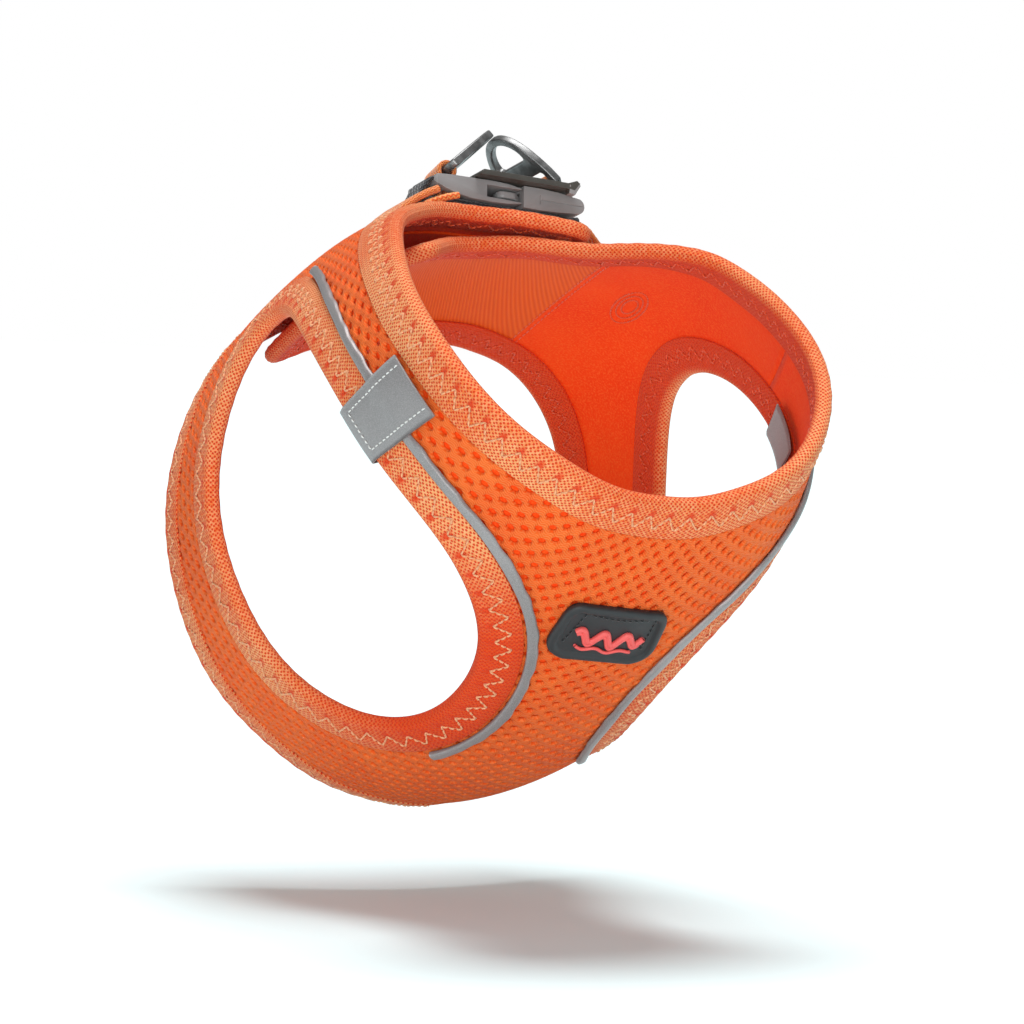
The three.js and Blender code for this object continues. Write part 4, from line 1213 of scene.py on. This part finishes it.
def closure_patch(name, low, high, heights, node):
    """One half of the back closure: a thin pile sheet between two angles."""
    count = 30
    angle, along = np.linspace(low, high, count), np.linspace(PATCH["start"], PATCH["end"], count)
    angle, along = np.meshgrid(angle, along, indexing="ij")
    inner_face, outer_face = (on_vest(angle.ravel(), along.ravel(), height) for height in heights)
    vertices, faces = two_faced(grid_quads(count, count)[:, ::-1], inner_face, outer_face)
    make(name, vertices, faces, BACKING, replaces=[node], slot="hook_and_loop")


def sewing():
    """The closure's two pile sheets, the rear tag, and the stitching that shows on the inside."""
    closure_patch("flap_hook_pile", PATCH["low"], PATCH["high"], (-1.6, -1.0), "hook_patch")
    closure_patch("flap_loop_pile", PATCH["low"] + 360, PATCH["high"] + 360, (2.4, 2.9), "loop_patch")
    tag = patch_frame(REAR_TAG["angle"], REAR_TAG["along"])
    rings = [(0.2, 3.6), (0, 4.0), (0, 4.8), (0.4, 5.1)]
    rounded_patch("rear_webbing_tag", tag, REAR_TAG["width"], REAR_TAG["length"], 1.2, rings, ORANGE_WEB,
                  replaces=["rear_end_tag"], slot="orange_webbing")
    inside = patch_frame(122.5, 0.465)
    turn = np.linspace(0, 2 * np.pi, 33)
    loop = list(zip(4.2 * np.cos(turn), 11.5 * np.sin(turn)))
    for n, share in enumerate((1, 0.72, 0.44)):
        ring = [(x * share, y * share) for x, y in loop]
        surface_stitches("inner_oval_tack_" + str(n + 1), inside, ring, 1.3, 0.75, -0.85, 0.3, RED_THREAD)
    seam = patch_frame(FACING_ANGLE, 0.5)
    for n, x in enumerate((-0.9, 0.9)):
        line = [(x, -42), (x, 0), (x, 42)]
        surface_stitches("inner_facing_seam_" + str(n + 1), seam, line, 2.2, 0.7, -0.8, 0.24, RED_THREAD)


# ---- run ----
PANELS = [("chest", -PANEL_SPLIT, PANEL_SPLIT), ("right_back", RIGHT_FLAP_END, -PANEL_SPLIT),
          ("left_back", PANEL_SPLIT, LEFT_FLAP_END)]
for panel, low, high in PANELS:
    net, area, width, length = air_mesh(panel + "_air_mesh", low, high, panel + "_mesh_panel")
    inner, area, width, length = lining(panel + "_soft_lining", low, high, panel + "_lining")

GAP = 0.01
binding("neck_binding_tape", vest_edge, -1, -0.5 + GAP, 1.5 - GAP, 0.002, False, "neck_binding")
binding("rear_binding_tape", vest_edge, -1, 1.5 + GAP, 3.5 - GAP, 0.002, False, "rear_binding")
for side, leg in (("right", RIGHT_LEG), ("left", LEFT_LEG)):
    node = side + "_leg_binding"
    binding(node + "_tape", leg_hole(leg), leg["side"], 0.0, 360.0, 0.5, True, node)
    piping(side, leg)
    tab(side, leg)
label()
sewing()
webbing()
buckle_female()
buckle_male()
prong("front_prong", -1)
prong("rear_prong", 1)
strap_slide()
d_ring("right_d_ring", "right", 1)
d_ring("left_d_ring", "left", -1)


# ---- floor, light and camera ----
def stage_floor():
    """A plain pale floor that gives a little light of its own, so that it stays white."""
    size, level = FLOOR["size"], FLOOR["level"]
    mesh = bpy.data.meshes.new("floor")
    corners = [(-size, -size, level), (size, -size, level), (size, size, level), (-size, size, level)]
    mesh.from_pydata(corners, [], [(0, 1, 2, 3)])
    floor = bpy.data.objects.new("floor", mesh)
    bpy.context.scene.collection.objects.link(floor)
    shader = Shader("floor_pale", 0.9, specular=0.0)
    shader.colour(shader.mix(shader.noise(3.0), rgb(222, 242, 244), rgb(224, 244, 246)))
    shader.surface.inputs["Emission Color"].default_value = (1, 1, 1, 1)
    shader.surface.inputs["Emission Strength"].default_value = FLOOR["glow"]
    mesh.materials.append(shader.material)


def camera():
    """The photographed view: from the dog's front right, a little above the vest's middle."""
    azimuth, elevation, roll = (math.radians(VIEW[name]) for name in ("azimuth", "elevation", "roll"))
    level = math.cos(elevation)
    towards = Vector((math.sin(azimuth) * level, -math.cos(azimuth) * level, math.sin(elevation)))
    right = Vector((math.cos(azimuth), math.sin(azimuth), 0))
    up = towards.cross(right)
    turned_right = right * math.cos(roll) - up * math.sin(roll)
    turned_up = right * math.sin(roll) + up * math.cos(roll)
    data = bpy.data.cameras.new("camera")
    data.lens = VIEW["lens"]
    data.sensor_width = 36
    data.clip_start = 0.01
    made = bpy.data.objects.new("camera", data)
    position = towards * VIEW["distance"] + turned_right * VIEW["right"] - turned_up * VIEW["down"]
    made.matrix_world = Matrix((
        (turned_right.x, turned_up.x, towards.x, position.x),
        (turned_right.y, turned_up.y, towards.y, position.y),
        (turned_right.z, turned_up.z, towards.z, position.z),
        (0, 0, 0, 1)))
    bpy.context.scene.collection.objects.link(made)
    bpy.context.scene.camera = made


def add_light(name, data):
    light = bpy.data.objects.new(name, data)
    bpy.context.scene.collection.objects.link(light)
    return light


def studio():
    """A white surround, seen by the camera at full strength, a broad overhead light and a soft front one."""
    world = bpy.data.worlds.new("studio")
    world.use_nodes = True
    tree = world.node_tree
    background = tree.nodes["Background"]
    background.inputs["Color"].default_value = (1, 1, 1, 1)
    seen = tree.nodes.new("ShaderNodeLightPath")
    strength = tree.nodes.new("ShaderNodeMapRange")
    strength.inputs["To Min"].default_value = LIGHT["surround"]
    strength.inputs["To Max"].default_value = 1.0
    tree.links.new(seen.outputs["Is Camera Ray"], strength.inputs["Value"])
    tree.links.new(strength.outputs["Result"], background.inputs["Strength"])
    bpy.context.scene.world = world
    sun = bpy.data.lights.new("overhead_light", "SUN")
    sun.energy = LIGHT["overhead"]
    sun.angle = math.radians(LIGHT["overhead_angle"])
    add_light("overhead_light", sun)
    disk = bpy.data.lights.new("front_light", "AREA")
    disk.shape = "DISK"
    disk.size = LIGHT["front_size"]
    disk.energy = LIGHT["front"]
    front = add_light("front_light", disk)
    front.location = LIGHT["front_place"]
    front.rotation_euler = (-Vector(LIGHT["front_place"])).to_track_quat("-Z", "Y").to_euler()
    bpy.context.scene.view_settings.view_transform = "Standard"


stage_floor()
studio()
camera()
